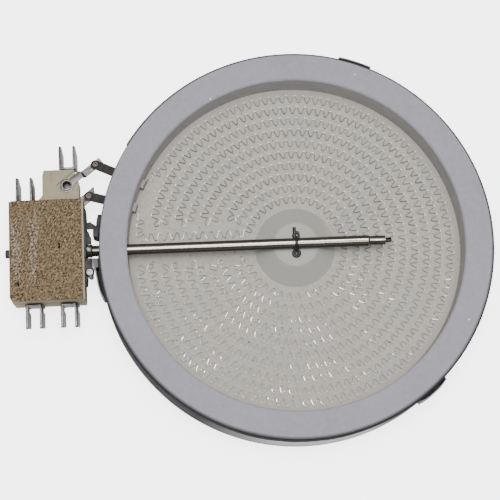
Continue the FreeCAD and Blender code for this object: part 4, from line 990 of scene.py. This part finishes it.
class ELEMENT_OT_contacts(bpy.types.Operator):
    """Finish the tabs, links, terminal strips, rivets and the pieces inside the head"""
    bl_idname = "element.contacts"
    bl_label = "Tabs and strips"

    def execute(self, context):
        tab = metal("Tab steel", (0.098, 0.09, 0.093), 0.3, 0.9, 620.0, 0.28)
        for end in ("top", "back", "front_left", "front_right"):
            paint(from_solid("tab_terminal_" + end, "push_tab_" + end, edge=0.1 * MM), tab)
        scale = heat_scale()
        for end in ("outer", "inner"):
            paint(from_solid("terminal_strip_" + end, "scaled_strip_" + end, edge=0.08 * MM), scale)
        bright = metal("Bright strip", (0.135, 0.124, 0.118), 0.33, 0.6, 700.0, 0.45)
        dull = metal("Dull strip", (0.075, 0.066, 0.06), 0.35, 0.8, 600.0, 0.35)
        for end, finish in (("long", bright), ("short", dull)):
            paint(from_solid("link_strip_" + end, "bright_strip_" + end, edge=0.08 * MM), finish)
        rivet = metal("Rivet steel", (0.06, 0.05, 0.042), 0.3, 0.7, 900.0, 0.3)
        for node in ("strip_eyelets", "tab_rivets"):
            paint(from_solid(node, "dressed_" + node), rivet)
        low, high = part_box("link_rivet")
        hollow = hollow_steel((low, high))
        paint(from_solid("link_rivet", "hollow_rivet"), hollow)
        # The plug down in the bore takes the bore's painted shade.
        middle = ((low.x + high.x) / 2, (low.y + high.y) / 2, high.z - 2.2 * MM)
        add_plug("rivet_end", middle, 1.8 * MM, 0.5 * MM, hollow)
        brown = metal("Eyelet end", (0.1, 0.08, 0.062), 0.5, 0.6, 900.0, 0.4, 0.3)
        for number, (x, y) in enumerate(EYELETS):
            add_plug(f"eyelet_end_{number}", (x, y, 18.75 * MM), 0.5 * MM, 0.4 * MM, brown)
        spring = metal("Spring bronze", (0.55, 0.42, 0.25), 0.35)
        for node in ("signal_spring", "signal_contact", "power_spring", "power_contact"):
            paint(frame["nodes"][node], spring)
        paint(frame["nodes"]["contact_rivets"], metal("Contact silver", (0.75, 0.74, 0.72), 0.25))
        pin, tree, shader, place = new_material("Pin ceramic", roughness=0.4)
        speck = use_group(tree, "Mottle", place, Colour=(0.75, 0.73, 0.68),
                          Cloud=(0.65, 0.62, 0.56), Size=300.0, Strength=0.4)
        tree.links.new(speck.outputs["Colour"], shader.inputs["Base Color"])
        for node in ("pressure_pin", "spacer_pin"):
            paint(frame["nodes"][node], pin)
        return {"FINISHED"}


CAMERA_PLACE = Vector((-0.04731, -0.14509, 0.64779))
CAMERA_RIGHT = Vector((0.99832, -0.04715, 0.03378))
CAMERA_UP = Vector((0.03838, 0.97365, 0.22482))


class ELEMENT_OT_stage(bpy.types.Operator):
    """Set the floor, the lights and the camera"""
    bl_idname = "element.stage"
    bl_label = "Stage"

    def execute(self, context):
        settings = context.scene.element_stage
        bpy.ops.mesh.primitive_plane_add(size=6, location=(0, 0, 0))
        floor = context.object
        floor.name = "floor"
        material, tree, shader, place = new_material("Floor", roughness=0.9, specular=0.0)
        mottle = use_group(tree, "Mottle", place, Colour=tuple(settings.floor),
                           Cloud=scaled(tuple(settings.floor), 0.99), Size=3.0, Strength=0.3)
        tree.links.new(mottle.outputs["Colour"], shader.inputs["Base Color"])
        seen = tree.nodes.new("ShaderNodeLightPath")
        tree.links.new(seen.outputs["Is Camera Ray"], shader.inputs["Emission Color"])
        shader.inputs["Emission Strength"].default_value = settings.glow
        paint(floor, material)

        for name, place, size, power, aim in (
                ("soft_light", (0.0, 0.1, 1.4), 1.3, settings.soft, (0, 0, 0)),
                ("key_light", (-0.03, -0.05, 1.1), 0.3, settings.key, (0, 0, 0)),
                ("fill_light", (0.3, -0.9, 0.4), 0.5, settings.fill, (0, 0, 0.02))):
            bpy.ops.object.light_add(type="AREA", location=place)
            light = context.object
            light.name = name
            light.data.size = size
            light.data.energy = power
            sight = Vector(aim) - Vector(place)
            light.rotation_euler = sight.to_track_quat("-Z", "Y").to_euler()

        world = bpy.data.worlds.new("Room")
        world.use_nodes = True
        world.node_tree.nodes["Background"].inputs["Color"].default_value = (1, 1, 1, 1)
        world.node_tree.nodes["Background"].inputs["Strength"].default_value = settings.room
        context.scene.world = world

        data = bpy.data.cameras.new("camera")
        data.sensor_width = 36
        data.lens = settings.lens
        data.clip_start = 0.05
        camera = bpy.data.objects.new("camera", data)
        context.scene.collection.objects.link(camera)
        back = CAMERA_RIGHT.cross(CAMERA_UP).normalized()
        right = CAMERA_UP.cross(back).normalized()
        up = back.cross(right)
        turn = Matrix((right, up, back)).transposed().to_4x4()
        camera.matrix_world = Matrix.Translation(CAMERA_PLACE) @ turn
        context.scene.camera = camera
        return {"FINISHED"}


class ELEMENT_PT_panel(bpy.types.Panel):
    """The element's pieces"""
    bl_label = "Radiant element"
    bl_idname = "ELEMENT_PT_panel"
    bl_space_type = "VIEW_3D"
    bl_region_type = "UI"
    bl_category = "Radiant element"

    def draw(self, context):
        for operator in OPERATORS:
            self.layout.operator(operator.bl_idname)


SETTINGS = (RibbonSettings, FinishSettings, StageSettings)
OPERATORS = (
    ELEMENT_OT_insulation,
    ELEMENT_OT_ribbon,
    ELEMENT_OT_pan,
    ELEMENT_OT_sensor,
    ELEMENT_OT_head,
    ELEMENT_OT_contacts,
    ELEMENT_OT_stage,
)


def register():
    for settings in SETTINGS:
        bpy.utils.register_class(settings)
    for operator in OPERATORS:
        bpy.utils.register_class(operator)
    bpy.utils.register_class(ELEMENT_PT_panel)
    bpy.types.Scene.element_ribbon = PointerProperty(type=RibbonSettings)
    bpy.types.Scene.element_finish = PointerProperty(type=FinishSettings)
    bpy.types.Scene.element_stage = PointerProperty(type=StageSettings)


def unregister():
    del bpy.types.Scene.element_stage
    del bpy.types.Scene.element_finish
    del bpy.types.Scene.element_ribbon
    bpy.utils.unregister_class(ELEMENT_PT_panel)
    for operator in reversed(OPERATORS):
        bpy.utils.unregister_class(operator)
    for settings in reversed(SETTINGS):
        bpy.utils.unregister_class(settings)


def main():
    register()
    bpy.ops.element.insulation()
    bpy.ops.element.ribbon()
    bpy.ops.element.pan()
    bpy.ops.element.sensor()
    bpy.ops.element.head()
    bpy.ops.element.contacts()
    bpy.ops.element.stage()


if __name__ == "__main__":
    main()
